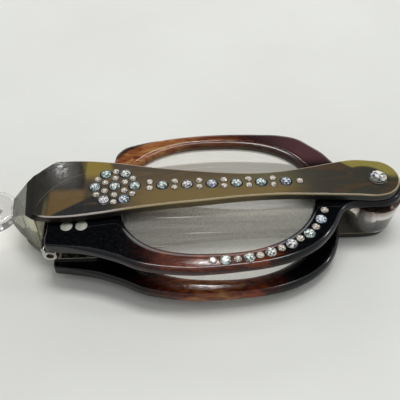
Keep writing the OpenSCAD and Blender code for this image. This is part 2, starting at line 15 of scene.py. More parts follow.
import bmesh
import bpy
from mathutils import Matrix, Vector


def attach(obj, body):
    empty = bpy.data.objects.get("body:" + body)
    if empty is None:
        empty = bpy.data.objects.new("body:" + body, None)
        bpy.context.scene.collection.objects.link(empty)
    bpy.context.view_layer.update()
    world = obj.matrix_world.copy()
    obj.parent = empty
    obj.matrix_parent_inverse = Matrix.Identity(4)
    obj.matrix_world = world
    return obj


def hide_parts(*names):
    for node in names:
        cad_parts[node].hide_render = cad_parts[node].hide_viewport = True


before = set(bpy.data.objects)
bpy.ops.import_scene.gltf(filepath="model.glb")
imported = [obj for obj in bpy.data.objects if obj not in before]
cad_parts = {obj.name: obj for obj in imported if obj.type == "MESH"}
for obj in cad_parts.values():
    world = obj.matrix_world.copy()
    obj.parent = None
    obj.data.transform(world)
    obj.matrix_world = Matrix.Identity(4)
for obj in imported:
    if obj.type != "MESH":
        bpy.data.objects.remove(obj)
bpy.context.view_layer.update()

log = logging.getLogger("lorgnette")

MM = 0.001
Point2 = tuple[float, float]
Point3 = tuple[float, float, float]
Face = tuple[int, ...]
Skin = tuple[list[Point3], list[Face]]
Plane = tuple[Vector, Vector]
Object = bpy.types.Object
Socket = bpy.types.NodeSocket
Feeds = dict[str, Socket]


class Body(Enum):
    """The moving groups of the frame."""

    HANDLE = "handle"
    FRONT = "front_eyepiece"
    REAR = "rear_eyepiece"


class Tint(Enum):
    """Lights of a coated stone, as places on its ramp of tints."""

    TEAL = 0.0
    MINT = 0.2
    STRAW = 0.4
    ROSE = 0.6
    VIOLET = 0.8
    SKY = 1.0


# Colours and node trees


def linear(code: str) -> tuple[float, float, float, float]:
    """Turn an sRGB hex colour such as "#5b5535" into linear red, green, blue and a full alpha."""
    parts = [int(code[i:i + 2], 16) / 255 for i in (1, 3, 5)]
    return (*(c / 12.92 if c <= 0.04045 else ((c + 0.055) / 1.055) ** 2.4 for c in parts), 1.0)


@dataclass
class Graph:
    """A node tree that grows by one function."""

    tree: bpy.types.NodeTree

    def add(self, kind: str, *feeds: object, at: dict | None = None, out: int | str = 0,
            stops: Sequence[tuple[float, str]] = (), **settings: object) -> Socket | None:
        """Add a node with its settings and what feeds it.

        Args:
            kind: Node type without its "ShaderNode" start, and after a colon its operation.
            feeds: For the sockets in order: an output, a constant, a hex colour, or None to skip one.
            at: The same for sockets by name or number.
            out: Which output to give.
            stops: Places and hex colours of a colour ramp.
            settings: Attributes of the node.

        Returns:
            The output asked for, or None of a node without outputs.
        """
        kind, _, operation = kind.partition(":")
        node = self.tree.nodes.new("ShaderNode" + kind)
        if operation:
            node.operation = operation
        for key, value in settings.items():
            setattr(node, key, value)
        for place, feed in [*enumerate(feeds), *(at or {}).items()]:
            if isinstance(feed, Socket):
                self.tree.links.new(feed, node.inputs[place])
            elif feed is not None:
                node.inputs[place].default_value = linear(feed) if isinstance(feed, str) else feed
        for i, (position, code) in enumerate(stops):
            ramp = node.color_ramp.elements
            stop = ramp[i] if i < 2 else ramp.new(position)
            stop.position, stop.color = position, linear(code)
        return node.outputs[out] if len(node.outputs) else None

    def point(self) -> Socket:
        """Give the place on the surface in millimetres, so that a noise has its scale per millimetre."""
        return self.add("VectorMath:SCALE", self.add("TexCoord", out="Object"), at={"Scale": 1 / MM})

    def patch(self, *bands: tuple[Socket, float, float]) -> Socket:
        """Multiply smooth bands into one mask.

        Args:
            bands: For each, a value, where the mask starts and where it is full.

        Returns:
            The mask, from 0 to 1.
        """
        mask = None
        for value, none, full in bands:
            band = self.add("MapRange", value, none, full, interpolation_type="SMOOTHSTEP")
            mask = band if mask is None else self.add("Math:MULTIPLY", mask, band)
        return mask

    def stain(self, colour: Socket | str, *layers: tuple[str, float, Socket]) -> Socket:
        """Lay colours over a colour.

        Args:
            colour: What lies under them.
            layers: For each, its hex colour, its share where the mask is full, and its mask.

        Returns:
            The colour with all of them on it.
        """
        for code, share, mask in layers:
            much = self.add("Math:MULTIPLY", mask, share)
            colour = self.add("Mix", much, at={6: colour, 7: code}, out=2, data_type="RGBA")
        return colour


@dataclass(frozen=True)
class Finish:
    """One finish: a named material with its shader's constants and a recipe for what varies."""

    name: str
    base: str
    roughness: float
    recipe: Callable[[Graph], Feeds]
    metallic: float = 0.0
    ior: float = 1.5
    transmission: float = 0.0
    coat: float = 0.0

    def material(self) -> bpy.types.Material:
        """Make the material once, and give the same one after that.

        Returns:
            The material.
        """
        found = bpy.data.materials.get(self.name)
        if found:
            return found
        made = bpy.data.materials.new(self.name)
        made.use_nodes = True
        made.diffuse_color = linear(self.base)
        g = Graph(made.node_tree)
        g.tree.nodes.clear()
        feeds = {"Base Color": self.base, "Roughness": self.roughness, "Metallic": self.metallic,
                 "Transmission Weight": self.transmission, "Coat Weight": self.coat}
        if not self.metallic:
            feeds["IOR"] = self.ior
        surface = g.add("BsdfPrincipled", at=feeds | self.recipe(g))
        if self.transmission:
            # Lamps shine on through clear plastic, so what lies under it isn't black
            clear = g.add("BsdfTransparent", self.base)
            surface = g.add("MixShader", g.add("LightPath", out="Is Shadow Ray"), surface, clear)
        g.add("OutputMaterial", surface)
        return made


# Recipes: what each surface's colour and relief come from


def tortoiseshell(g: Graph) -> Feeds:
    """Celluloid with clouds of black and red-brown in amber, which follow the rim round the lens, with
    painted glow, highlights, shade and a plum reflection.

    Args:
        g: The tree to add to.

    Returns:
        What feeds the shader, by socket name.
    """
    point = g.point()
    x, y, z = g.add("SeparateXYZ", point).node.outputs
    cloud = g.add("TexNoise", g.add("Mapping", point, at={"Scale": (0.12, 0.28, 0.28)}),
                  at={"Scale": 1.0, "Detail": 3.0, "Roughness": 0.55, "Distortion": 0.5})
    fleck = g.add("TexNoise", g.add("Mapping", point, at={"Scale": (0.2, 0.6, 0.6)}),
                  at={"Scale": 1.0, "Detail": 3.0, "Roughness": 0.55, "Distortion": 1.2})
    along = g.add("Math:ADD", g.add("Math:MULTIPLY_ADD", cloud, 12.0, -6.0), x)
    # How far out a point lies: 1 at the lens opening, about 1.25 at the rim's outer edge
    from_lens = g.add("VectorMath:ADD", point, (36.3, 1.1, 0.0))
    placed = g.add("VectorMath:MULTIPLY", from_lens, (1 / 21.5, 1 / 16.05, 0.0))
    u, v, _ = g.add("SeparateXYZ", g.add("VectorMath:ABSOLUTE", placed)).node.outputs
    bend = 2.6
    total = g.add("Math:ADD", g.add("Math:POWER", u, bend), g.add("Math:POWER", v, bend))
    out = g.add("Math:POWER", total, 1 / bend)
    # Painted glow: light falling through the amber is painted into the far arc's left part, and less of it
    # into the near arcs, where it also stands for a painted highlight; a painted glow lies low on the rear
    # rim's near wall
    painted_amber_glow = g.patch((y, 3.0, 8.0), (along, -14.0, -46.0))
    painted_near_glow = g.patch((y, -4.0, -9.0), (along, -60.0, -45.0), (along, -17.0, -29.0))
    painted_low_wall_glow = g.patch((y, -4.0, -9.0), (z, 7.0, 5.0), (along, -49.0, -41.0), (along, -26.0, -36.0))
    light = g.add("Math:MULTIPLY_ADD", painted_amber_glow, 0.8, g.add("Math:MULTIPLY", painted_near_glow, 0.48))
    light = g.add("Math:MULTIPLY_ADD", painted_low_wall_glow, 0.24, light)
    uneven = g.add("Math:MULTIPLY", g.add("Math:MULTIPLY_ADD", fleck, 1.5, -0.75),
                   g.add("Math:ADD", light, 0.12))
    colour = g.add("ValToRGB", g.add("Math:ADD", light, uneven), stops=(
        (0.0, "#040508"), (1.0, "#a17c46"), (0.14, "#0b080a"), (0.28, "#200c0a"), (0.42, "#3f180f"),
        (0.58, "#6b321b"), (0.76, "#905833"), (0.88, "#9b683b")))
    far = (g.patch((y, 4.0, 8.0)), 0.0, 1.0)
    near = (g.patch((y, -4.0, -9.0), (z, 8.0, 10.0), (x, -54.0, -46.0), (x, -24.0, -32.0)), 0.0, 1.0)
    painted_red_glow_spot = g.add("VectorMath:DISTANCE", point, (-29.0, -22.6, 2.4), out="Value")
    up = g.add("Math:ABSOLUTE", g.add("SeparateXYZ", g.add("NewGeometry", out="Normal"), out=2))
    colour = g.stain(
        colour,
        # The far arc: dark along its outer edge, gold flecks by the lens, and a painted plum reflection on
        # its outer top at the right end
        ("#5b1f12", 0.6, g.patch(far, (cloud, 0.52, 0.62), (out, 1.05, 1.1))),
        ("#a67c48", 0.4, g.patch(far, (out, 1.12, 1.05), (fleck, 0.5, 0.62), (x, -18.0, -26.0))),
        ("#3a150b", 0.6, g.patch(far, (out, 1.12, 1.04), (x, -50.0, -40.0))),
        ("#4c2c1c", 0.4, g.patch(far, (x, -47.0, -40.0), (x, -26.0, -32.0))),
        ("#0f0909", 0.9, g.patch(far, (out, 1.175, 1.22), (x, -18.0, -34.0))),
        ("#523638", 0.9, g.patch((x, -32.0, -14.0), (y, 6.0, 10.0), (out, 1.03, 1.12))),
        # A painted red glow shows in the rear rim's wall
        ("#8c301d", 0.75, g.patch((painted_red_glow_spot, 3.0, 1.0))),
        # The front rim's near arc gets a faint painted highlight on top and painted shade down its wall
        ("#1c0d0a", 0.55, g.patch(near, (up, 0.5, 0.2))),
        ("#7a564a", 0.15, g.patch(near, (up, 0.7, 0.95))))
    fine = g.add("TexNoise", point, at={"Scale": 1.6, "Detail": 4.0})
    dent = g.add("TexNoise", point, at={"Scale": 0.3, "Detail": 2.0})
    # Walls and the far arc's mouth shine less
    dull = g.add("Math:MAXIMUM", g.patch((up, 0.5, 0.2), (x, -48.0, -20.0)),
                 g.patch(far, (up, 0.99, 0.975), (x, -24.0, -34.0)))
    return {"Base Color": colour,
            "Roughness": g.add("MapRange", fine, 0.35, 0.75, 0.05, 0.2),
            "Specular IOR Level": g.add("MapRange", dull, 0.0, 1.0, 0.5, 0.2),
            "Normal": g.add("Bump", 0.35, 0.05 * MM, at={"Height": dent})}


def horn_celluloid(g: Graph) -> Feeds:
    """Horn-coloured sheet with smoky, amber and slate parts that meet in soft joins, with a painted
    highlight along its top edges and painted light on the bottom plate between the rims.

    Args:
        g: The tree to add to.

    Returns:
        What feeds the shader, by socket name.
    """
    point = g.point()
    x, y, z = g.add("SeparateXYZ", point).node.outputs
    up = g.add("SeparateXYZ", g.add("NewGeometry", out="Normal"), out=2)
    steep = g.add("Math:ABSOLUTE", up)
    cloud = g.add("TexNoise", g.add("Mapping", point, at={"Scale": (0.09, 0.35, 0.35)}),
                  at={"Scale": 1.0, "Detail": 4.0, "Roughness": 0.6, "Distortion": 0.6})
    streak = g.add("TexNoise", g.add("Mapping", point, at={"Scale": (0.08, 0.7, 0.7)}),
                   at={"Scale": 1.0, "Detail": 4.0, "Roughness": 0.6, "Distortion": 1.2})
    fine = g.add("TexNoise", point, at={"Scale": 1.8, "Detail": 4.0})
    dent = g.add("TexNoise", point, at={"Scale": 0.2, "Detail": 2.0})
    along = g.add("Math:ADD", g.add("Math:MULTIPLY_ADD", cloud, 6.0, -3.0), x)
    # Slanted joins, and distances from the centres of two round ones
    edge = g.add("Math:MULTIPLY_ADD", y, 0.25, x)
    slope = g.add("Math:MULTIPLY_ADD", x, -0.625, g.add("Math:SUBTRACT", y, 36.9))
    slant = g.add("Math:MULTIPLY_ADD", x, 0.76, y)
    reach, ring = (g.add("VectorMath:DISTANCE", point, g.add("CombineXYZ", *centre, z), out="Value")
                   for centre in ((-3.0, -2.0), (-62.5, -8.6)))
    wall = (steep, 0.5, 0.2)
    # Painted highlight on the upper rounding of the plates' edges
    painted_edge_highlight = g.patch((up, 0.985, 0.9), (up, 0.5, 0.7), (x, -75.0, -73.0))
    bevel = g.patch((up, 0.9, 0.84), (x, -74.0, -75.5))
    colour = g.add("ValToRGB", g.add("MapRange", along, -80.0, 5.0), stops=(
        (0.0, "#262420"), (1.0, "#3a3930"), (0.1, "#322f2a"), (0.16, "#3a3630"), (0.22, "#524636"),
        (0.34, "#5e503d"), (0.5, "#61543d"), (0.66, "#625c46"), (0.74, "#46433a"), (0.8, "#3e3c34"),
        (0.92, "#3a3931")))
    colour = g.stain(
        colour,
        # The near side of the waist is a lighter brown, the far side greyer
        ("#786640", 0.85, g.patch((y, 2.5, -2.5), (along, -60.0, -48.0), (along, -14.0, -22.0))),
        ("#50463f", 0.6, g.patch((y, 0.5, 4.0), (along, -66.0, -56.0), (along, -26.0, -38.0))),
        # Sheets of other colours are let in round the flower: amber, brown and slate
        ("#897739", 0.9, g.patch((edge, -65.0, -64.2), (edge, -57.4, -58.8), (y, 1.0, 4.6))),
        ("#675334", 0.92, g.patch((x, -73.4, -72.2), (x, -64.2, -65.8), (y, 0.2, -1.6), (slope, -0.4, 0.4))),
        ("#292a2a", 0.9, g.patch((slope, 0.4, -0.4), (x, -72.5, -70.0), (x, -54.5, -61.0), (y, -1.0, -3.5))),
        ("#6d6540", 0.5, g.patch((x, -74.0, -73.5), (x, -72.7, -73.2), (y, -2.0, -5.0))),
        ("#1f1e1b", 0.6, g.patch((x, -67.6, -66.6), (x, -65.0, -65.8), (y, -1.5, 1.0))),
        ("#54412f", 0.6, g.patch((cloud, 0.48, 0.62), (along, -24.0, -14.0))),
        # Yellow shows round the far side of the round end
        ("#8c8344", 0.92, g.patch((reach, 5.6, 6.3), (y, -0.5, 1.8), (slant, -0.6, 0.1))),
        # A join shows as a thin pale arc in the smoky end, and veins run along the waist
        ("#8a8978", 0.25, g.patch((ring, 13.0, 13.12), (ring, 13.3, 13.18), (x, -64.0, -67.0),
                                  (y, -6.0, -3.0))),
        ("#8d7d50", 0.2, g.patch((streak, 0.5, 0.75), (along, -70.0, -60.0), (along, -12.0, -24.0))),
        # The walls are red-brown, gold at the waist and black towards the pivot; along the rounded top edges
        # lies a pale painted highlight, lilac-white towards the nose
        ("#150c07", 0.9, g.patch(wall, (along, -36.0, -52.0))),
        ("#4f4522", 0.7, g.patch(wall, (along, -56.0, -44.0), (along, -24.0, -34.0))),
        ("#0f0e08", 0.9, g.patch(wall, (along, -34.0, -22.0))),
        ("#b8a67c", 0.7, painted_edge_highlight),
        ("#c4bcc0", 0.7, g.patch((painted_edge_highlight, 0.0, 1.0), (x, -54.0, -62.0))),
        # The filed bevel of the nose is almost black and matt
        ("#110f08", 0.95, bevel),
        # The bottom plate's tip is as smoky as the core above it, and between the rims its top gets pale,
        # mottled painted light and reflection
        ("#7f7e70", 0.85, g.patch((z, 5.0, 4.0), (x, -73.0, -75.5))),
        ("#bab7a4", 0.62, g.patch((z, 5.0, 4.0), (up, 0.6, 0.95), (x, -66.0, -56.0), (x, -9.0, -16.0),
                                  (fine, 0.2, 0.6))))
    return {"Base Color": colour,
            "Roughness": g.add("Math:ADD", g.add("MapRange", steep, 0.6, 0.2, 0.0, 0.3),
                               g.add("MapRange", fine, 0.35, 0.75, 0.07, 0.2)),
            "Specular IOR Level": g.add("MapRange", bevel, 0.0, 1.0, 0.45, 0.05),
            "Normal": g.add("Bump", 0.3, 0.04 * MM, at={"Height": dent})}


def clear_celluloid(g: Graph) -> Feeds:
    """Faint flow waves and handling marks in clear plastic, with a painted brown reflection of the rim's tab
    at the top of the spacer.

    Args:
        g: The tree to add to.

    Returns:
        What feeds the shader, by socket name.
    """
    point = g.point()
    x, _, z = g.add("SeparateXYZ", point).node.outputs
    fine = g.add("TexNoise", point, at={"Scale": 1.7, "Detail": 4.0})
    wave = g.add("TexNoise", point, at={"Scale": 0.4, "Detail": 2.0})
    # The brown at the spacer's top is a painted reflection of the tab above it
    return {"Base Color": g.stain("#eceae8", ("#7d6256", 1.0, g.patch((x, -12.0, -8.0), (z, 7.2, 9.6)))),
            "Roughness": g.add("MapRange", fine, 0.45, 0.8, 0.02, 0.14),
            "Normal": g.add("Bump", 0.5, 0.08 * MM, at={"Height": wave})}


def smoky_celluloid(g: Graph) -> Feeds:
    """Smoky clear plastic, with painted light, pale yellow, on its near side.

    Args:
        g: The tree to add to.

    Returns:
        What feeds the shader, by socket name.
    """
    point = g.point()
    x, y, _ = g.add("SeparateXYZ", point).node.outputs
    smoke = g.add("TexNoise", point, at={"Scale": 0.35, "Detail": 3.0, "Distortion": 1.0})
    fine = g.add("TexNoise", point, at={"Scale": 1.7, "Detail": 4.0})
    grey = g.add("ValToRGB", smoke, stops=((0.35, "#9b9a8c"), (0.7, "#c3c3b3")))
    # Pale yellow painted light through the near side of the block
    return {"Base Color": g.stain(grey, ("#f2f0c6", 0.9, g.patch((x, -80.0, -78.0), (y, -3.5, -6.0)))),
            "Roughness": g.add("MapRange", fine, 0.45, 0.8, 0.02, 0.16),
            "Normal": g.add("Bump", 0.4, 0.06 * MM, at={"Height": smoke})}


def dusty_glass(g: Graph) -> Feeds:
    """A thin film of dust with wiping marks along the lens, and specks; the glass itself is clear.

    Args:
        g: The tree to add to.

    Returns:
        What feeds the shader, by socket name.
    """
    point = g.point()
    x, y, _ = g.add("SeparateXYZ", point).node.outputs
    turned = g.add("Mapping", point, at={"Rotation": (0.0, 0.0, -0.14), "Scale": (0.03, 1.0, 0.5)})
    wipes = g.add("TexNoise", turned, at={"Scale": 1.0, "Detail": 3.0, "Roughness": 0.6, "Distortion": 0.4})
    lines = g.add("TexNoise", turned, at={"Scale": 0.8, "Detail": 3.0, "Roughness": 0.6, "Distortion": 0.2})
    specks = g.add("TexNoise", point, at={"Scale": 5.0, "Detail": 3.0})
    film = g.add("Math:ADD", g.add("MapRange", wipes, 0.4, 0.7, 0.0, 0.05),
                 g.add("MapRange", lines, 0.63, 0.68, 0.0, 0.5))
    film = g.add("Math:ADD", film, g.add("MapRange", specks, 0.5, 0.68, 0.0, 0.1))
    # The film is thickest where fingers reach, on the near side away from the bridge
    thick = g.add("Math:MULTIPLY", g.add("MapRange", y, -5.0, 3.0, 1.0, 0.15),
                  g.add("MapRange", x, -58.0, -46.0, 0.7, 1.0))
    # Painted sheen: the pale film grows denser at grazing angles, standing in for reflection
    sheen = g.add("MapRange", g.add("Fresnel", 1.5), 0.04, 0.6, 0.01, 0.5)
    return {"Alpha": g.add("Math:MULTIPLY_ADD", film, thick, sheen),
            "Normal": g.add("Bump", 0.2, 0.01 * MM, at={"Height": wipes})}


def nickel_plate(g: Graph) -> Feeds:
    """Nickel plate, buffed and slightly tarnished in patches.

    Args:
        g: The tree to add to.

    Returns:
        What feeds the shader, by socket name.
    """
    point = g.point()
    tarnish = g.add("TexNoise", point, at={"Scale": 0.7, "Detail": 4.0})
    # Buffing lines about 0.1 mm wide, coarser than real ones so that they show
    grain = g.add("TexNoise", g.add("Mapping", point, at={"Scale": (8.0, 0.8, 8.0)}),
                  at={"Scale": 1.0, "Detail": 3.0})
    metal = g.add("ValToRGB", tarnish, stops=((0.3, "#85827a"), (0.8, "#dcdad3"), (0.5, "#bdbab2")))
    return {"Base Color": metal,
            "Roughness": g.add("MapRange", tarnish, 0.3, 0.8, 0.1, 0.28),
            "Normal": g.add("Bump", 0.3, 0.01 * MM, at={"Height": grain})}


def filed_nickel(g: Graph) -> Feeds:
    """Rivet heads dressed flat with a fine file, so they look pale and matt.

    Args:
        g: The tree to add to.

    Returns:
        What feeds the shader, by socket name.
    """
    # File marks about 0.15 mm wide, coarser than real ones so that they show
    grain = g.add("TexNoise", g.add("Mapping", g.point(), at={"Scale": (1.6, 6.5, 3.0)}),
                  at={"Scale": 1.0, "Detail": 4.0})
    return {"Base Color": g.add("ValToRGB", grain, stops=((0.3, "#85867b"), (0.8, "#b9baaf"))),
            "Roughness": g.add("MapRange", grain, 0.3, 0.8, 0.5, 0.75),
            "Normal": g.add("Bump", 0.4, 0.02 * MM, at={"Height": grain})}


def aurora_foil_painted_facets(g: Graph) -> Feeds:
    """Painted reflections and shade: facets from dark to white by their own number, tinted by the coating's
    shifting lights.

    Args:
        g: The tree to add to.

    Returns:
        What feeds the shader, by socket name.
    """
    facet = g.add("Attribute", out="Vector", attribute_name="facet")
    light, tint, much = g.add("SeparateXYZ", facet).node.outputs
    grey = g.add("ValToRGB", light, stops=(
        (0.0, "#191d20"), (1.0, "#ffffff"), (0.25, "#515759"), (0.5, "#aeb5b3"), (0.75, "#f4f7f5")))
    lights = g.add("ValToRGB", tint, stops=(
        (0.0, "#7fd0d0"), (1.0, "#9ccdf4"), (0.2, "#b9ecd2"), (0.4, "#f3e6a6"), (0.6, "#f2c9bb"),
        (0.8, "#a79cf0")))
    return {"Base Color": g.add("Mix", g.add("Math:MULTIPLY", much, 0.85), at={6: grey, 7: lights}, out=2,
                                data_type="RGBA", blend_type="MULTIPLY")}


def silver_foil_painted_facets(g: Graph) -> Feeds:
    """Painted reflections and shade: facets from brown-grey to white by their own number, as on uncoated
    glass over silver foil.

    Args:
        g: The tree to add to.

    Returns:
        What feeds the shader, by socket name.
    """
    light = g.add("SeparateXYZ", g.add("Attribute", out="Vector", attribute_name="facet"))
    return {"Base Color": g.add("ValToRGB", light, stops=(
        (0.0, "#3a322b"), (1.0, "#fffcf4"), (0.3, "#83786a"), (0.6, "#cbc0af"), (0.85, "#efe6d8")))}


def old_cement(g: Graph) -> Feeds:
    """Cement squeezed up round a stone, dirty and uneven.

    Args:
        g: The tree to add to.

    Returns:
        What feeds the shader, by socket name.
    """
    grime = g.add("TexNoise", g.point(), at={"Scale": 2.0, "Detail": 4.0})
    dirt = g.add("ValToRGB", grime, stops=((0.3, "#0c0e0e"), (0.85, "#33342e"), (0.6, "#1a1d1b")))
    return {"Base Color": dirt, "Normal": g.add("Bump", 0.5, 0.05 * MM, at={"Height": grime})}


def stone_floor(g: Graph) -> Feeds:
    """Pale stone with very faint clouds."""
    cloud = g.add("TexNoise", g.point(), at={"Scale": 0.016, "Detail": 5.0})
    return {"Base Color": g.add("ValToRGB", cloud, stops=((0.3, "#dcdcd6"), (0.7, "#e4e5df")))}


# Finishes of the real object

# Tortoiseshell celluloid, cut from sheet and buffed: deep colour under a hard clear gloss
SHELL = Finish("tortoiseshell_celluloid_buffed", "#3c170f", 0.08, tortoiseshell)
# Horn-coloured celluloid sheet, laminated, filed and buffed: soft gloss, with a painted highlight along the
# edges
HORN = Finish("horn_celluloid_buffed", "#5d503a", 0.14, horn_celluloid)
# Smoky clear celluloid block, filed to facets and polished: grey light through it, hard glints
SMOKE = Finish("smoky_celluloid_filed", "#bcbcb0", 0.06, smoky_celluloid, transmission=0.8)
# Clear celluloid, turned and polished: white streaks where it bends the floor's light
CLEAR = Finish("clear_celluloid_turned", "#eceae8", 0.04, clear_celluloid, transmission=0.88)
# Crown glass, ground and polished, not wiped for long: clear under a pale film with streaks
LENS = Finish("crown_glass_ground", "#e8e6db", 0.22, dusty_glass, ior=1.52)
# Nickel-plated brass, stamped and buffed: warm white metal with duller patches
NICKEL = Finish("nickel_plate_buffed", "#cfccc5", 0.2, nickel_plate, metallic=1.0)
# Nickel silver rivet heads, filed flat: pale and matt
RIVET = Finish("nickel_silver_filed", "#d0d1c8", 0.6, filed_nickel, metallic=1.0)
# Lead crystal, vapour-coated over silver foil: painted reflections and shade make white and dark facets,
# with blue, green and rose lights
AURORA = Finish("aurora_crystal_foiled", "#cfe3e4", 0.08, aurora_foil_painted_facets, coat=1.0)
# Lead crystal over silver foil without the coating: pearly, warm white, with painted reflections and shade
# on its facets
CRYSTAL = Finish("clear_crystal_foiled", "#e9dfd2", 0.08, silver_foil_painted_facets, coat=1.0)
# Jeweller's cement, aged in the pockets: almost black and half glossy
CEMENT = Finish("jewellers_cement_aged", "#1a1d1b", 0.25, old_cement)
# Honed pale stone under the object: matt, plain
FLOOR = Finish("pale_stone_honed", "#e0e1db", 0.45, stone_floor)


# Shape helpers


def arc(centre: Point2, radius: float, start: float, end: float, steps: int) -> list[Point2]:
    """Give points of an arc in degrees, with both ends."""
    turns = [math.radians(start + (end - start) * i / steps) for i in range(steps + 1)]
    return [(centre[0] + radius * math.cos(t), centre[1] + radius * math.sin(t)) for t in turns]


def smooth_loop(points: Sequence[Point2], steps: int) -> list[Point2]:
    """Run a closed smooth curve through the points.

    Args:
        points: Points of the loop, in order.
        steps: Points per span.

    Returns:
        The finer loop.
    """
    p = [Vector(q) for q in points]
    n = len(p)

    def way(a: Vector, b: Vector, c: Vector) -> Vector:
        """Give the direction at b, weighed by the lengths of its two spans."""
        s, t = (b - a).length, (c - b).length
        return ((b - a) * t / s + (c - b) * s / t) / (s + t)

    out: list[Point2] = []
    for i in range(n):
        a, b, c, d = p[i - 1], p[i], p[(i + 1) % n], p[(i + 2) % n]
        m = (c - b).length
        for j in range(steps):
            t = j / steps
            s = 1 - t
            q = (b * s * s * (1 + 2 * t) + c * t * t * (3 - 2 * t)
                 + way(a, b, c) * m * t * s * s - way(b, c, d) * m * t * t * s)
            out.append((q.x, q.y))
    return out


def outward(loop: Sequence[Point2]) -> list[Vector]:
    """Give the outward unit normals of a loop that runs anticlockwise."""
    ways = [(Vector(b) - Vector(a)).normalized() for a, b in zip([loop[-1], *loop], [*loop[1:], loop[0]])]
    return [Vector((t.y, -t.x)) for t in ways]


def inset(loop: Sequence[Point2], depth: float, z: float) -> list[Point3]:
    """Give an anticlockwise loop moved in by a depth, at a level."""
    return [(p[0] - n.x * depth, p[1] - n.y * depth, z) for p, n in zip(loop, outward(loop))]


def quarter(radius: float, steps: int) -> list[Point2]:
    """Give a quarter round as (how far in, how far from the face)."""
    turns = [math.pi / 2 * i / steps for i in range(steps + 1)]
    return [(radius * (1 - math.sin(t)), radius * (1 - math.cos(t))) for t in turns]


def skin(rings: Sequence[Sequence[Point3]], closed: bool) -> Skin:
    """Join rings of equal count with quads.

    Args:
        rings: The rings, in order.
        closed: Join the last ring to the first; otherwise cap both ends.

    Returns:
        Vertices and faces.
    """
    n, m = len(rings[0]), len(rings)
    verts = [p for ring in rings for p in ring]
    faces: list[Face] = []
    for k in range(m if closed else m - 1):
        low, high = k * n, ((k + 1) % m) * n
        for i in range(n):
            j = (i + 1) % n
            faces.append((low + i, low + j, high + j, high + i))
    if not closed:
        faces.append(tuple(range(n - 1, -1, -1)))
        faces.append(tuple((m - 1) * n + i for i in range(n)))
    return verts, faces


def lathe(profile: Sequence[Point2], steps: int) -> Skin:
    """Turn a closed (r, z) profile about Z."""
    turns = [2 * math.pi * i / steps for i in range(steps)]
    return skin([[(r * math.cos(t), r * math.sin(t), z) for t in turns] for r, z in profile], True)


def joined(skins: Iterable[Skin]) -> Skin:
    """Put several skins into one.

    Args:
        skins: The skins, in order.

    Returns:
        Vertices and faces of all of them.
    """
    verts: list[Point3] = []
    faces: list[Face] = []
    for more, its_faces in skins:
        faces += [tuple(len(verts) + i for i in face) for face in its_faces]
        verts += more
    return verts, faces


def new_mesh(name: str, shape: Skin, finish: Finish) -> bpy.types.Mesh:
    """Make a mesh with one finish.

    Args:
        name: Mesh name.
        shape: Vertices in millimetres, and faces.
        finish: Finish of the whole mesh.

    Returns:
        The mesh.
    """
    mesh = bpy.data.meshes.new(name)
    mesh.from_pydata([tuple(c * MM for c in v) for v in shape[0]], [], shape[1])
    mesh.materials.append(finish.material())
    return mesh


def linked(name: str, data: bpy.types.ID) -> Object:
    """Make an object and link it to the scene.

    Args:
        name: Object name.
        data: Its mesh, lamp or camera.

    Returns:
        The object.
    """
    obj = bpy.data.objects.new(name, data)
    bpy.context.scene.collection.objects.link(obj)
    return obj


@contextmanager
def edited(mesh: bpy.types.Mesh) -> Iterator[bmesh.types.BMesh]:
    """Open a mesh for an edit, and write it back with its normals outward.

    Args:
        mesh: The mesh.

    Yields:
        What to edit.
    """
    bm = bmesh.new()
    bm.from_mesh(mesh)
    yield bm
    bmesh.ops.recalc_face_normals(bm, faces=bm.faces)
    bm.to_mesh(mesh)
    bm.free()


def modify(obj: Object, kind: str, **settings: object) -> None:
    """Add a modifier.

    Args:
        obj: The object.
        kind: Type of the modifier.
        settings: Its attributes.
    """
    modifier = obj.modifiers.new(kind.lower(), kind)
    for key, value in settings.items():
        setattr(modifier, key, value)


def break_edges(obj: Object, width: float, angle: float) -> None:
    """Break the edges over an angle in degrees as polishing does, by a width in millimetres."""
    modify(obj, "BEVEL", width=width * MM, segments=2, limit_method="ANGLE", angle_limit=math.radians(angle))


def shade(obj: Object, sharp: float, weight: int = 80) -> None:
    """Shade smooth, but keep flat faces flat.

    Args:
        obj: The object.
        sharp: Angle in degrees over which an edge stays sharp.
        weight: How strongly large faces hold their normals.
    """
    obj.data.shade_smooth()
    obj.data.set_sharp_from_angle(angle=math.radians(sharp))
    modify(obj, "WEIGHTED_NORMAL", keep_sharp=True, weight=weight)


def bake(obj: Object) -> None:
    """Apply an object's modifiers to its mesh.

    Args:
        obj: The object.
    """
    mesh = bpy.data.meshes.new_from_object(obj.evaluated_get(bpy.context.evaluated_depsgraph_get()))
    obj.modifiers.clear()
    obj.data = mesh


def make(name: str, shape: Skin, finish: Finish, turn: Matrix | None = None, sharp: float = 35.0) -> Object:
    """Make a mesh object.

    Args:
        name: Piece name.
        shape: Vertices in millimetres, and faces.
        finish: Finish of the whole piece.
        turn: Placement to bake into the mesh.
        sharp: Angle in degrees over which an edge stays sharp.

    Returns:
        The object, linked to the scene.
    """
    mesh = new_mesh(name, shape, finish)
    if turn is not None:
        mesh.transform(turn)
    with edited(mesh) as bm:
        bmesh.ops.remove_doubles(bm, verts=bm.verts, dist=1e-7)
    obj = linked(name, mesh)
    shade(obj, sharp)
    return obj


def place(obj: Object, body: Body, slot: str, *nodes: str) -> None:
    """Let a piece ride on a body and stand for CAD nodes.

    Args:
        obj: The piece.
        body: What it rides on.
        slot: Not used.
        nodes: The CAD nodes that it replaces.
    """
    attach(obj, body.value)
    if nodes:
        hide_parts(*nodes)
    log.info("%s rides on %s", obj.name, body.value)


def dress(node: str, finish: Finish, broken: float = 0.0) -> None:
    """Give a CAD node a finish and polished edges.

    Args:
        node: Name of the node.
        finish: Its finish.
        broken: Width to which its edges are broken.
    """
    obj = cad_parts[node]
    obj.data.materials.clear()
    obj.data.materials.append(finish.material())
    modify(obj, "WELD", merge_threshold=1e-6)
    if broken:
        break_edges(obj, broken, 30)
    shade(obj, 35, weight=50)
    log.info("%s dressed", node)


# The object's shared sizes


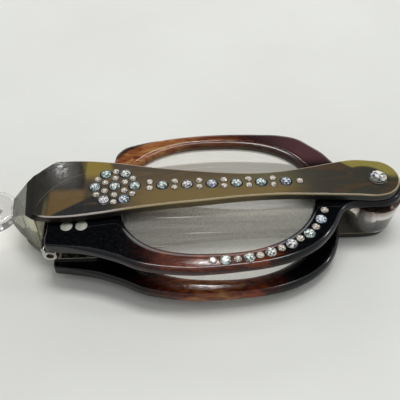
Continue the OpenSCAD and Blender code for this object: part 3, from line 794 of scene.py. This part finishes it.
@dataclass(frozen=True)
class Stack:
    """Levels and plan places that several sub-assemblies share."""

    plate_t: float = 1.8
    spacer_h: float = 8.2
    play: float = 0.02
    washer_t: float = 0.36
    rim_t: float = 2.5
    rear_lift: float = 0.1
    core_face_r: float = 76.203
    nose_len: float = 7.0
    hinge_reach: float = 72.6
    block_w: float = 22.7
    block_drop: float = 2.75
    rear_skew: float = -1.8
    rear_shift: float = 0.8

    @property
    def tab_low(self) -> float:
        """Underside of the front rim."""
        return self.plate_t + self.spacer_h + self.play

    @property
    def front_top(self) -> float:
        """Top of the front rim."""
        return self.tab_low + self.rim_t

    @property
    def top_plate(self) -> float:
        """Underside of the top plate."""
        return self.front_top + self.play + self.washer_t

    @property
    def top(self) -> float:
        """Top of the top plate."""
        return self.top_plate + self.plate_t

    @property
    def hinge_z(self) -> float:
        """Height of the bridge hinge's axis."""
        return (self.front_top + self.plate_t + self.rear_lift) / 2

    @property
    def tip_x(self) -> float:
        """The blunt tip of the handle."""
        return -(self.core_face_r + self.nose_len)

    def rear(self) -> Matrix:
        """Place a front piece, turned over, in the rear eyepiece.

        Returns:
            The placement, in metres.
        """
        back = Matrix.Translation((self.hinge_reach * MM, 0, 0))
        skew = Matrix.Rotation(math.radians(self.rear_skew), 4, "Z")
        turn = Matrix.Diagonal((1, 1, -1, 1))
        out = Matrix.Translation(((-self.hinge_reach + self.rear_shift) * MM, 0, 2 * self.hinge_z * MM))
        return out @ turn @ skew @ back


STACK = Stack()


# Stones


@dataclass
class Stone:
    """A round foiled stone: girdle, eight kites and sixteen small facets, and a flat table."""

    radius: float
    crown: float
    cement: float
    girdle: float = 0.97
    star: float = 0.8
    table: float = 0.56
    sunk: float = 0.3
    lip: float = 0.1

    def facets(self, centre: Point3, turn: float) -> Skin:
        """Build the stone's surface. The table is split in eight, so that the foil's star can be painted
        into it as reflections.

        Args:
            centre: Middle of the stone at the surface it is set in.
            turn: Turn about its axis, in degrees.

        Returns:
            Vertices and faces, the table's eight first.
        """
        cx, cy, cz = centre
        verts: list[Point3] = []
        for count, share, height, shift in (
                (16, self.girdle, -self.sunk, 0.0), (16, self.girdle, self.lip, 0.0),
                (8, self.star, self.crown * 0.62, 0.5), (8, self.table, self.crown, 0.0)):
            r = self.radius * share
            for i in range(count):
                a = math.radians(turn) + 2 * math.pi * (i + shift) / count
                verts.append((cx + r * math.cos(a), cy + r * math.sin(a), cz + height))
        verts.append((cx, cy, cz + self.crown))
        faces: list[Face] = [(48, 40 + i, 40 + (i + 1) % 8) for i in range(8)]
        faces += [(i, (i + 1) % 16, 16 + (i + 1) % 16, 16 + i) for i in range(16)]
        for k in range(8):
            a, b, c = 16 + 2 * k, 17 + 2 * k, 16 + (2 * k + 2) % 16
            star, table, after = 32 + k, 40 + k, 40 + (k + 1) % 8
            faces += [(a, b, star), (b, c, star), (table, star, after), (a, star, table), (c, after, star)]
        return verts, faces


@dataclass
class StoneSet:
    """Stones of one size on one body, each with dark cement round it."""

    name: str
    node: str
    stone: Stone
    places: list[Point2]
    level: float
    body: Body
    finish: Finish
    seed: int
    tints: Sequence[Tint] = (Tint.MINT,)
    turn: Matrix | None = None

    def chance(self, k: int, salt: int) -> float:
        """Give a fixed number from 0 to 1 for stone or facet k."""
        return (math.sin(k * 12.9898 + salt * 78.233 + self.seed * 37.719) * 43758.5453) % 1.0

    def marks(self, k: int, count: int) -> list[Point3]:
        """Give each facet of stone k its painted light, its tint and how strong the tint is.

        Args:
            k: Number of the stone.
            count: How many facets it has.

        Returns:
            The facets' numbers, in the order of the faces.
        """
        tint = self.tints[k % len(self.tints)].value
        out = []
        for i in range(count):
            light = self.chance(k * 61 + i, 11)
            # Painted reflections: of the table's star most pieces are bright; painted shade: the girdle lies
            # dark in its pocket
            low, high = (0.7 if i % 3 else 0.2, 0.3) if i < 8 else (0.0, 0.15) if i < 24 else (0.02, 0.85)
            shift = 0.5 * (self.chance(k * 17 + i, 5) - 0.5)
            much = self.chance(k * 29 + i, 13) * (0.4 if i < 8 else 1.0)
            out.append((low + high * light, min(1.0, max(0.0, tint + shift)), much))
        return out

    def build(self) -> None:
        """Build the stones as one piece and the cement as another."""
        skins = [self.stone.facets((x, y, self.level), 360 * self.chance(k, 7))
                 for k, (x, y) in enumerate(self.places)]
        mesh = new_mesh(self.name, joined(skins), self.finish)
        marks = [mark for k, (_, faces) in enumerate(skins) for mark in self.marks(k, len(faces))]
        layer = mesh.attributes.new("facet", "FLOAT_VECTOR", "FACE")
        for cell, mark in zip(layer.data, marks):
            cell.vector = mark
        if self.turn is not None:
            mesh.transform(self.turn)
            mesh.flip_normals()
        place(linked(self.name, mesh), self.body, "crystal", self.node)
        self.cement()

    def cement(self) -> None:
        """Build the low ring of cement round each stone."""
        skins = []
        for k, at in enumerate(self.places):
            wide = self.stone.cement * (0.97 + 0.06 * self.chance(k, 23))
            profile = ((0.9, -0.1), (0.9, 0.08), (0.99, 0.08), (wide, 0.02), (wide, -0.1))
            skins.append(skin([[(x, y, self.level + height)
                                for x, y in arc(at, self.stone.radius * share, 0, 345, 23)]
                               for share, height in profile], True))
        place(make(self.name + "_cement", joined(skins), CEMENT, self.turn), self.body, "crystal")


# Sub-assemblies


@dataclass
class Handle:
    """The two horn plates, the smoky core between them and the clear hanging ring."""

    stack: Stack = STACK
    wide_half: float = 8.7
    waist_half: float = 3.9
    waist_shift: float = 0.8
    end_r: float = 5.5
    end_at: Point2 = (-0.55, 0.4)
    rounding: float = 0.55
    rounding_hidden: float = 0.15
    tip_half: float = 2.5
    nose_turn: float = 6.5
    top_in: float = 0.85
    core_in: float = 0.12
    plate_broken: float = 0.15
    core_broken: float = 0.12
    # Down the near side: how far from the pivot, the share of the way from waist to wide end, and
    # how much of top_in applies; down the far side only the first two
    near: tuple[Point3, ...] = (
        (5.4, 0.14, 0.6), (13.9, 0.09, 1), (22.2, 0, 1), (30.5, 0.01, 0.7), (38.9, 0.18, 0.55),
        (47.2, 0.4, 0.75), (55.3, 0.7, 1), (62, 0.92, 0.8), (67, 1, 0.5), (71, 0.985, 0.3),
        (73.1, 0.915, 0.15), (75.6, 0.73, 0))
    far: tuple[Point2, ...] = ((4.6, 0.57), (9.5, 0.44), (15.5, 0.22), (21.3, 0.06), (27.1, 0), (32.9, 0.06),
                               (41.5, 0.26), (50.2, 0.5), (59.1, 0.83), (65.5, 0.98), (70, 1), (72.5, 0.973))
    big_r: float = 1.15
    small_r: float = 0.75
    cluster_at: float = 58.55
    big_ring: float = 4.4
    small_rings: Point2 = (2.5, 4.55)
    row_at: float = 20.5
    row_pitch: float = 5.5
    pair_apart: float = 1.85
    pair_up: float = 0.15
    last_on: float = 3.1
    ring_r: float = 5.85
    ring_sunk: float = 1.7
    ring_t: float = 3.2
    ring_soft: float = 0.75
    eye_r: float = 1.6

    def half_at(self, share: float, side: float) -> float:
        """Half width where the plate is share of the way from its waist to its wide end."""
        return (self.waist_half + side * self.waist_shift * (1 - share)
                + (self.wide_half - self.waist_half) * share)

    def outline(self, drawn_in: float = 0.0) -> list[Point2]:
        """Give the outline of a plate, anticlockwise.

        Args:
            drawn_in: How far its near side lies in.

        Returns:
            The fine loop.
        """
        s = self.stack
        face, tip, wide, blunt = -s.core_face_r, s.tip_x, self.wide_half, self.tip_half
        end_x, end_y = self.end_at
        points = arc(self.end_at, self.end_r, -62, 62, 4) + [(end_x, end_y + self.end_r)]
        points += [(-d, self.half_at(share, -1)) for d, share in self.far]
        points += [(face + 1.0, 0.735 * wide), (face - 1.1, 0.505 * wide),
                   (tip + 0.43 * s.nose_len, blunt + 1), (tip, blunt), (tip, -blunt),
                   (tip + 0.5 * s.nose_len, -blunt - 2.1)]
        points += [(-d, drawn_in * much - self.half_at(share, 1)) for d, share, much in reversed(self.near)]
        return smooth_loop([*points, (end_x, end_y - self.end_r)], 7)

    def nose_planes(self) -> list[Plane]:
        """Give the planes that the nose is filed back to.

        Returns:
            Points and outward normals, from the top down.
        """
        f, t, top = -self.stack.core_face_r, self.stack.tip_x, self.stack.top
        line = [(t + 6.55, top), (t + 4.3, self.stack.top_plate), (t, top - 6.5), (t, 6.2),
                (f - 5.0, 3.6), (f - 3.7, 1.0), (f - 2.9, 0)]
        planes = [(Vector((x0, 0, z0)), Vector((z1 - z0, 0, x0 - x1)))
                  for (x0, z0), (x1, z1) in zip(line, line[1:])]
        # The two upper planes are turned about the tip's far corner
        turn, corner = Matrix.Rotation(math.radians(self.nose_turn), 3, "Z"), Vector((t, self.tip_half, 0))
        return [(corner + turn @ (p - corner), turn @ n) if i < 2 else (p, n)
                for i, (p, n) in enumerate(planes)]

    def cut_nose(self, obj: Object, planes: Sequence[Plane]) -> None:
        """File a solid back to planes and close it again.

        Args:
            obj: The solid.
            planes: The planes, as points and outward normals.
        """
        with edited(obj.data) as bm:
            for point, normal in planes:
                cut = bmesh.ops.bisect_plane(
                    bm, geom=bm.verts[:] + bm.edges[:] + bm.faces[:], dist=1e-7,
                    plane_co=point * MM, plane_no=normal.normalized(), clear_outer=True)
                edges = [g for g in cut["geom_cut"] if isinstance(g, bmesh.types.BMEdge)]
                if edges:
                    bmesh.ops.contextual_create(bm, geom=edges)

    def file_and_polish(self, obj: Object, planes: Sequence[Plane], width: float) -> None:
        """File the nose of a solid, break its edges and keep its faces flat.

        Args:
            obj: The solid.
            planes: Planes that it is filed back to.
            width: Width of the broken edges.
        """
        sharp = 24
        self.cut_nose(obj, planes)
        break_edges(obj, width, sharp)
        bake(obj)
        shade(obj, sharp)

    def plate(self, name: str, node: str, low: float, rounds: Point2, planes: Sequence[Plane],
              drawn_in: float = 0.0) -> None:
        """Build one plate with polished edges and its filed nose.

        Args:
            name: Piece name.
            node: CAD node that it stands for.
            low: Level of its underside.
            rounds: Rounding of the lower and of the upper edge.
            planes: Planes that its nose is filed back to.
            drawn_in: How far its near side lies in.
        """
        loop = self.outline(drawn_in)
        high = low + self.stack.plate_t
        rings = [inset(loop, far, low + up) for far, up in quarter(rounds[0], 4)]
        rings += [inset(loop, far, high - down) for far, down in reversed(quarter(rounds[1], 5))]
        obj = make(name, skin(rings, False), HORN, sharp=24)
        self.file_and_polish(obj, planes, self.plate_broken)
        place(obj, Body.HANDLE, "handle_plate", node)

    def core(self) -> None:
        """Build the smoky block between the plates, hollowed where the rims' corner swings past."""
        s = self.stack
        reach = s.core_face_r
        outer = [(x, y) for x, y, _ in inset(self.outline(), self.core_in, 0.0)
                 if x < 0 and math.hypot(x, y) > reach]
        first, last = (math.degrees(math.atan2(p[1], p[0])) % 360 for p in (outer[0], outer[-1]))
        edge = outer + arc((0, 0), reach, last, first, 24)
        rings = [[(x, y, z) for x, y in edge] for z in (s.plate_t, s.top_plate)]
        obj = make("handle_core_filed", skin(rings, False), SMOKE, sharp=24)
        self.file_and_polish(obj, self.nose_planes()[1:], self.core_broken)
        place(obj, Body.HANDLE, "clear_core", "handle_core")

    def ring(self) -> None:
        """Build the clear hanging ring with rounded mouths, let into the tip."""
        s = self.stack
        r0, r1, h, soft = self.eye_r, self.ring_r, self.ring_t / 2, self.ring_soft
        at_x, at_z = s.tip_x - r1 + self.ring_sunk, s.hinge_z
        profile = arc((r1 - h, 0.0), h, -90, 90, 16) + arc((r0 + soft, h - soft), soft, 90, 180, 6)
        verts, faces = lathe(profile + arc((r0 + soft, soft - h), soft, 180, 270, 6), 96)
        shape = [(x + at_x, y, z + at_z) for x, y, z in verts], faces
        obj = make("hanging_ring_turned", shape, CLEAR, sharp=40)
        tip = [(s.tip_x + 5, 6.2), (s.tip_x + 3, 4.6), (s.tip_x, self.tip_half)]
        tip += [(x, -y) for x, y in reversed(tip)]
        seat = make("tip_seat", skin([[(x, y, z) for x, y in tip] for z in (2.0, 12.0)], False), CLEAR)
        self.cut_nose(seat, self.nose_planes()[1:4])
        modify(obj, "BOOLEAN", object=seat, operation="DIFFERENCE", solver="EXACT")
        bake(obj)
        bpy.data.objects.remove(seat)
        shade(obj, 40)
        place(obj, Body.HANDLE, "clear_plastic", "hanging_ring")

    def stones(self) -> None:
        """Set the flower cluster and the row of stones."""
        at, row, pitch = (-self.cluster_at, 0.0), -self.row_at, self.row_pitch
        big = [at, *arc(at, self.big_ring, 0, 300, 5), *((row - i * pitch, 0.0) for i in range(6))]
        small = [p for r in self.small_rings for p in arc(at, r, 30, 330, 5)]
        small += [(row - (i + 0.51) * pitch, self.pair_up + side * self.pair_apart)
                  for i in range(6) for side in (-0.5, 0.5)]
        small.append((row + self.last_on, 0.0))
        flower = (Tint.MINT, Tint.MINT, Tint.STRAW, Tint.TEAL, Tint.TEAL, Tint.ROSE, Tint.SKY)
        along = (Tint.SKY, Tint.TEAL, Tint.MINT, Tint.VIOLET, Tint.ROSE, Tint.MINT)
        StoneSet("large_stones_of_handle", "handle_large_stones", Stone(self.big_r, 0.48, 1.27), big,
                 self.stack.top, Body.HANDLE, AURORA, 4, flower + along).build()
        StoneSet("small_stones_of_handle", "handle_small_stones", Stone(self.small_r, 0.31, 1.13), small,
                 self.stack.top, Body.HANDLE, CRYSTAL, 5).build()

    def build(self) -> None:
        """Build the plates, the core, the ring and the stones."""
        planes, full, hidden = self.nose_planes(), self.rounding, self.rounding_hidden
        self.plate("handle_top_plate_sheet", "handle_top_plate", self.stack.top_plate, (hidden, full),
                   planes[:1], self.top_in)
        self.plate("handle_bottom_plate_sheet", "handle_bottom_plate", 0.0, (full, hidden), planes[-2:])
        self.core()
        self.ring()
        self.stones()
        log.info("handle built")


@dataclass
class Pivot:
    """Pin, washer, nut, cup and stone of the pivot, and the clear spacer."""

    stack: Stack = STACK
    spacer_low: float = 5.35
    spacer_top: float = 6.3
    pin_r: float = 1.25
    cup_r: float = 2.1
    cup_h: float = 0.6
    cup_wall: float = 0.2
    crown: float = 0.65

    def spacer(self) -> None:
        """Build the clear spacer, a short cone with softened rims and a bore."""
        low, wide, top_wide = self.stack.plate_t, self.spacer_low, self.spacer_top
        high = low + self.stack.spacer_h
        profile = [(self.pin_r, low), (wide - 0.3, low), (wide - 0.08, low + 0.08),
                   (wide + 0.02, low + 0.35), (top_wide - 0.05, high - 0.5),
                   (top_wide - 0.08, high - 0.15), (top_wide - 0.3, high), (self.pin_r, high)]
        obj = make("pivot_spacer_turned", lathe(profile, 96), CLEAR, sharp=40)
        place(obj, Body.HANDLE, "clear_plastic", "pivot_spacer")

    def head(self) -> None:
        """Build the cup as a turned bezel, and its large stone."""
        r, low, inner = self.cup_r, self.stack.top - 0.02, self.cup_r - self.cup_wall
        high = low + self.cup_h
        profile = [(1.0, low), (r - 0.05, low), (r, low + 0.08), (r, high - 0.12), (r - 0.06, high - 0.02),
                   (r - 0.16, high - 0.03), (inner, high - 0.15), (inner, low + 0.3), (1.0, low + 0.3)]
        obj = make("pivot_cup_turned", lathe(profile, 72), NICKEL, sharp=30)
        place(obj, Body.HANDLE, "nickel", "pivot_cup")
        StoneSet("stone_of_pivot", "pivot_stone", Stone(inner * 0.99, self.crown, 1.0), [(0.0, 0.0)],
                 self.stack.top + self.cup_h - 0.05, Body.HANDLE, AURORA, 11, (Tint.ROSE,)).build()

    def build(self) -> None:
        """Build the spacer and the head, and dress the metal."""
        self.spacer()
        self.head()
        for node, broken in (("pivot_pin", 0.1), ("pivot_washer", 0.05), ("pivot_nut", 0.1),
                             ("pivot_bush", 0.05)):
            dress(node, NICKEL, broken)
        log.info("pivot built")


@dataclass
class LensOpening:
    """A superellipse whose halves and powers differ, in polar form round its centre."""

    width: float = 43.0
    height: float = 32.1
    reach: float = 8.5
    side: float = 5.8
    drop: float = 1.1
    # Powers of the near and of the far side, each towards the bridge and towards the pivot
    powers: tuple[Point2, Point2] = ((2.6, 2.2), (2.3, 2.5))

    @property
    def right(self) -> float:
        """Half width towards the pivot."""
        return self.width * 0.512

    @property
    def centre(self) -> Point2:
        """Middle of the opening."""
        return (-(self.reach + self.side + self.right), -self.drop)

    def radius(self, turn: float, more: float = 0.0) -> float:
        """Measure from the centre to the edge.

        Args:
            turn: Direction in radians.
            more: How far the edge is grown.

        Returns:
            The distance.
        """
        x, y = math.cos(turn), math.sin(turn)
        half = (self.right if x > 0 else self.width - self.right) + more
        power = self.powers[y > 0][x > 0]
        return ((abs(x) / half) ** power + (abs(y) / (self.height / 2 + more)) ** power) ** (-1 / power)

    def point(self, turn: float, more: float = 0.0) -> Point2:
        """Point at an angle in radians, as far past the opening's edge as more says."""
        r = self.radius(turn, more)
        return (self.centre[0] + r * math.cos(turn), self.centre[1] + r * math.sin(turn))


@dataclass
class Eyepiece:
    """One rim with its lens, stones and rivets. The rear one lies turned over under the front one."""

    body: Body
    stack: Stack = STACK
    opening: LensOpening = field(default_factory=LensOpening)
    rim_far: float = 3.8
    rim_near: float = 4.55
    tab_r: float = 5.4
    tab_at: Point2 = (0.7, 0.2)
    rounding: float = 1.0
    eye_in: float = 1.8
    eye_down: float = 0.8
    eye_low: float = 0.25
    scoop: float = 0.8
    scoop_at: float = 201.0
    scoop_power: int = 8
    past_hinge: float = 0.2
    corner: float = 0.7
    lens_edge: float = 0.45
    lens_dome: float = 0.36
    big_r: float = 1.22
    small_r: float = 0.85
    # How far outside the opening the stones lie: along the near arc, round its corner and past it
    stones_out: Point3 = (2.2, 2.1, 2.5)
    stone_turns: tuple[float, ...] = (-94, -85.8, -78, -70.6, -63.8, -57, -50.2, -43.6, -37.6, -31.9, -26.2,
                                      -20.4, -13.8)

    @property
    def front(self) -> bool:
        """Whether this is the front eyepiece, with the tab."""
        return self.body is Body.FRONT

    @property
    def word(self) -> str:
        """First word of the CAD nodes' names."""
        return "front" if self.front else "rear"

    @property
    def turn(self) -> Matrix | None:
        """Placement of what is built as for the front rim."""
        return None if self.front else self.stack.rear()

    def outline(self) -> list[Point2]:
        """Give the outer edge of the rim, anticlockwise.

        Returns:
            The fine loop.
        """
        o, s = self.opening, self.stack
        across, up, down = o.right + o.side, o.height / 2 + self.rim_far, o.height / 2 + self.rim_near

        def at(*shares: Point2) -> list[Point2]:
            """Scale shares of the half sizes to points round the lens centre."""
            return [(o.centre[0] + u * across, o.centre[1] + v * (up if v > 0 else down)) for u, v in shares]

        far = at((0.86, 0.74), (0.735, 0.895), (0.62, 0.95), (0.4, 0.985), (0.12, 1), (-0.16, 0.985),
                 (-0.41, 0.94), (-0.64, 0.872), (-0.765, 0.8), (-0.825, 0.69), (-0.842, 0.57), (-0.87, 0.47))
        near = at((-1.08, -0.675), (-0.78, -0.8), (-0.585, -0.92), (-0.39, -0.975), (-0.2, -1),
                  (-0.02, -0.995), (0.17, -0.973), (0.36, -0.94), (0.565, -0.865), (0.775, -0.705),
                  (0.91, -0.5))
        end, half, mid, c = -s.hinge_reach - self.past_hinge, s.block_w / 2, -s.block_drop, self.corner
        bridge = [(end + 8.5, mid + half - 1), (end + 3.5, mid + half - 0.2)]
        bridge += arc((end + c, mid + half - c), c, 90, 180, 3)
        bridge += [(end, mid + k * half) for k in (0.6, 0, -0.6)]
        bridge += arc((end + c, mid - half + c), c, 180, 270, 3)
        bridge.append((end + 2.5, mid - half - 0.2))
        if self.front:
            _, tab_y = self.tab_at
            close = [(-7.7, -6.3), (-5.8, -5.15), (-2.5, tab_y - self.tab_r)]
            close += arc(self.tab_at, self.tab_r, -80, 80, 6)
            close += [(-2.5, tab_y + self.tab_r), (-5.7, 5.9), (-8.1, 8), (-10.2, 11.3)]
        else:
            close = at((0.985, -0.22), (1, 0.05), (0.985, 0.3), (0.945, 0.52))
        return smooth_loop(close + far + bridge + near, 6)

    def soft(self, x: float) -> float:
        """Share of the full edge rounding: crisp at the bridge block, full from the lens on."""
        return min(1.0, max(0.35, (x + self.stack.hinge_reach + self.past_hinge - 1) / 9))

    def rim(self) -> None:
        """Build the rim between its lens opening and its outer edge."""
        s, o = self.stack, self.opening
        outer = self.outline()
        turns = [math.atan2(p[1] - o.centre[1], p[0] - o.centre[0]) for p in outer]
        inner = [o.point(t) for t in turns]
        softs = [self.soft(x) for x, _ in outer]
        # The mouth is scooped wider at its corner by the bridge
        widths = [1 + self.scoop * max(0.0, math.cos(t - math.radians(self.scoop_at))) ** self.scoop_power
                  for t in turns]
        low, high = s.tab_low, s.front_top
        rings: list[list[Point3]] = []
        curve, mouth = quarter(self.rounding, 6), quarter(1.0, 5)
        for edge, sign, steps in ((low, 1, curve), (high, -1, curve[::-1])):
            rings += [[(p[0] - n.x * far * k, p[1] - n.y * far * k, edge + sign * depth * k)
                       for p, n, k in zip(outer, outward(outer), softs)] for far, depth in steps]
        # Both mouths of the rear rim are wide, but of the front rim only the upper one
        low_in, low_up = (self.eye_low, self.eye_low) if self.front else (self.eye_in, self.eye_down)
        for wide, deep, edge, steps in ((self.eye_in, -self.eye_down, high, mouth),
                                        (low_in, low_up, low, mouth[::-1])):
            rings += [[(p[0] + n.x * wide * far * w, p[1] + n.y * wide * far * w, edge + deep * depth)
                       for p, n, w in zip(inner, outward(inner), widths)] for far, depth in steps]
        obj = make(f"{self.word}_rim_buffed", skin(rings, True), SHELL, self.turn, 40)
        place(obj, self.body, "rim_shell", f"{self.word}_rim")

    def lens(self) -> None:
        """Build the lens with both faces domed, held by its edge in the rim's groove."""
        s, o = self.stack, self.opening
        middle = (s.tab_low + s.front_top) / 2
        edge = [o.point(2 * math.pi * i / 144, self.lens_edge) for i in range(144)]

        def ring(share: float, side: int) -> list[Point3]:
            """Points of one face where it is share of the way out from the centre."""
            z = middle + side * (self.lens_edge + self.lens_dome * (1 - share * share))
            return [(o.centre[0] + (x - o.centre[0]) * share, o.centre[1] + (y - o.centre[1]) * share, z)
                    for x, y in edge]

        shares = [0.04, 0.2, 0.4, 0.6, 0.8, 0.95, 1.0]
        rings = [ring(share, 1) for share in shares] + [ring(share, -1) for share in reversed(shares)]
        obj = make(f"{self.word}_lens_ground", skin(rings, False), LENS, self.turn, 40)
        place(obj, self.body, "lens", f"{self.word}_lens")

    def stones(self) -> None:
        """Set the rim's stones midway between the opening and the outer edge."""
        o = self.opening
        below, turning, past = self.stones_out
        places = []
        for a in self.stone_turns:
            t = math.radians(a)
            r = o.radius(t) + (below if a < -60 else turning if a < -35 else past)
            places.append((o.centre[0] + r * math.cos(t), o.centre[1] + r * math.sin(t)))
        tints = (Tint.MINT, Tint.STRAW, Tint.STRAW, Tint.ROSE, Tint.MINT, Tint.SKY)
        for size, stone, at, finish, seed, lights in (
                ("large", Stone(self.big_r, 0.51, 1.07), places[1::2], AURORA, 17, tints),
                ("small", Stone(self.small_r, 0.36, 1.07), places[0::2], CRYSTAL, 19, (Tint.MINT,))):
            StoneSet(f"{size}_stones_of_{self.word}_rim", f"{self.word}_rim_{size}_stones", stone, at,
                     self.stack.front_top, self.body, finish, seed, lights, self.turn).build()

    def build(self) -> None:
        """Build rim, lens and stones, and dress the rivets and the hinge leaf."""
        self.rim()
        self.lens()
        self.stones()
        dress(f"{self.word}_rivets", RIVET, 0.04)
        dress(f"hinge_leaf_{self.word}", NICKEL, 0.08)
        log.info("%s eyepiece built", self.word)


@dataclass
class Studio:
    """Pale floor, soft lamps and the camera at the photograph's place."""

    focal_px: float = 597.5
    frame_px: float = 400.0
    sensor: float = 36.0
    tilt: float = 48.646
    heading: float = 0.553
    roll: float = -1.391
    distance: float = 139.708
    target: Point3 = (-39.695, 1.913, 7.1)
    floor_half: float = 2000.0
    floor_drop: float = 0.05

    def camera(self) -> None:
        """Place the camera."""
        t, h, r = (math.radians(a) for a in (self.tilt, self.heading, self.roll))
        ahead = Vector((math.sin(h) * math.cos(t), math.cos(h) * math.cos(t), -math.sin(t)))
        right = Vector((math.cos(h), -math.sin(h), 0))
        up = right.cross(ahead)
        right, up = math.cos(r) * right + math.sin(r) * up, -math.sin(r) * right + math.cos(r) * up
        data = bpy.data.cameras.new("camera")
        data.sensor_width = self.sensor
        data.lens = self.sensor * self.focal_px / self.frame_px
        data.clip_start, data.clip_end = 0.005, 20.0
        data.dof.use_dof = False
        cam = linked("camera", data)
        stand = Matrix.Translation((Vector(self.target) - ahead * self.distance) * MM)
        cam.matrix_world = stand @ Matrix((right, up, -ahead)).transposed().to_4x4()
        bpy.context.scene.camera = cam

    def lamp(self, name: str, at: Point3, size: Point2, power: float) -> None:
        """Add a soft box aimed at the object's middle.

        Args:
            name: Lamp name.
            at: Where it stands, in metres.
            size: Its width and height, in metres.
            power: Its power in watts.
        """
        data = bpy.data.lights.new(name, "AREA")
        data.shape = "RECTANGLE"
        data.size, data.size_y = size
        data.energy = power
        aim = Vector((-0.04, 0, 0.005)) - Vector(at)
        linked(name, data).matrix_world = (
            Matrix.Translation(at) @ aim.to_track_quat("-Z", "Y").to_matrix().to_4x4())

    def ground(self) -> None:
        """Lay the floor."""
        s = self.floor_half
        sheet = [(-s, -s, 0), (s, -s, 0), (s, s, 0), (-s, s, 0)], [(0, 1, 2, 3)]
        obj = linked("floor", new_mesh("floor", sheet, FLOOR))
        obj.location.z = -self.floor_drop * MM

    def sky(self) -> None:
        """Light the object softly from all round but a dark wall, on a pale background."""
        world = bpy.data.worlds.new("studio")
        bpy.context.scene.world = world
        world.use_nodes = True
        g = Graph(world.node_tree)
        g.tree.nodes.clear()
        side, ahead, _ = g.add("SeparateXYZ", g.add("TexCoord", out="Generated")).node.outputs
        # A dark wall stands where the flat tops mirror the room, and it is darker behind the camera
        wall = g.patch((ahead, 0.25, 0.45), (ahead, 0.9, 0.78), (g.add("Math:ABSOLUTE", side), 0.6, 0.42))
        behind = g.add("MapRange", ahead, -0.75, 0.1, 0.36, 0.66)
        light = g.add("Math:MULTIPLY", behind, g.add("MapRange", wall, 0.0, 1.0, 1.0, 0.04))
        soft = g.add("Background", "#f4f6f8", light)
        pale = g.add("Background", "#e6e6e1", 1.0)
        g.add("OutputWorld", g.add("MixShader", g.add("LightPath", out="Is Camera Ray"), soft, pale))

    def build(self) -> None:
        """Set up camera, floor, lamps and view transform."""
        self.camera()
        self.ground()
        self.sky()
        self.lamp("overhead", (0.0, 0.16, 0.72), (0.4, 0.14), 2.3)
        self.lamp("window", (-0.1, 1.1, 0.6), (1.3, 0.36), 3.0)
        self.lamp("right_spot", (0.6, 0.08, 0.52), (0.06, 0.06), 0.5)
        self.lamp("far_spot", (-0.289, 0.696, 0.706), (0.016, 0.016), 0.028)
        self.lamp("mid_spot", (-0.022, 0.497, 0.748), (0.05, 0.015), 0.13)
        bpy.context.scene.view_settings.view_transform = "Standard"
        log.info("studio built")


def main() -> None:
    """Build the studio and the sub-assemblies."""
    logging.basicConfig(level=logging.INFO, format="%(message)s")
    Studio().build()
    Handle().build()
    Pivot().build()
    Eyepiece(Body.FRONT).build()
    Eyepiece(Body.REAR).build()
    dress("hinge_pin", NICKEL, 0.05)
    dress("hinge_spring", NICKEL)


if __name__ == "__main__":
    main()
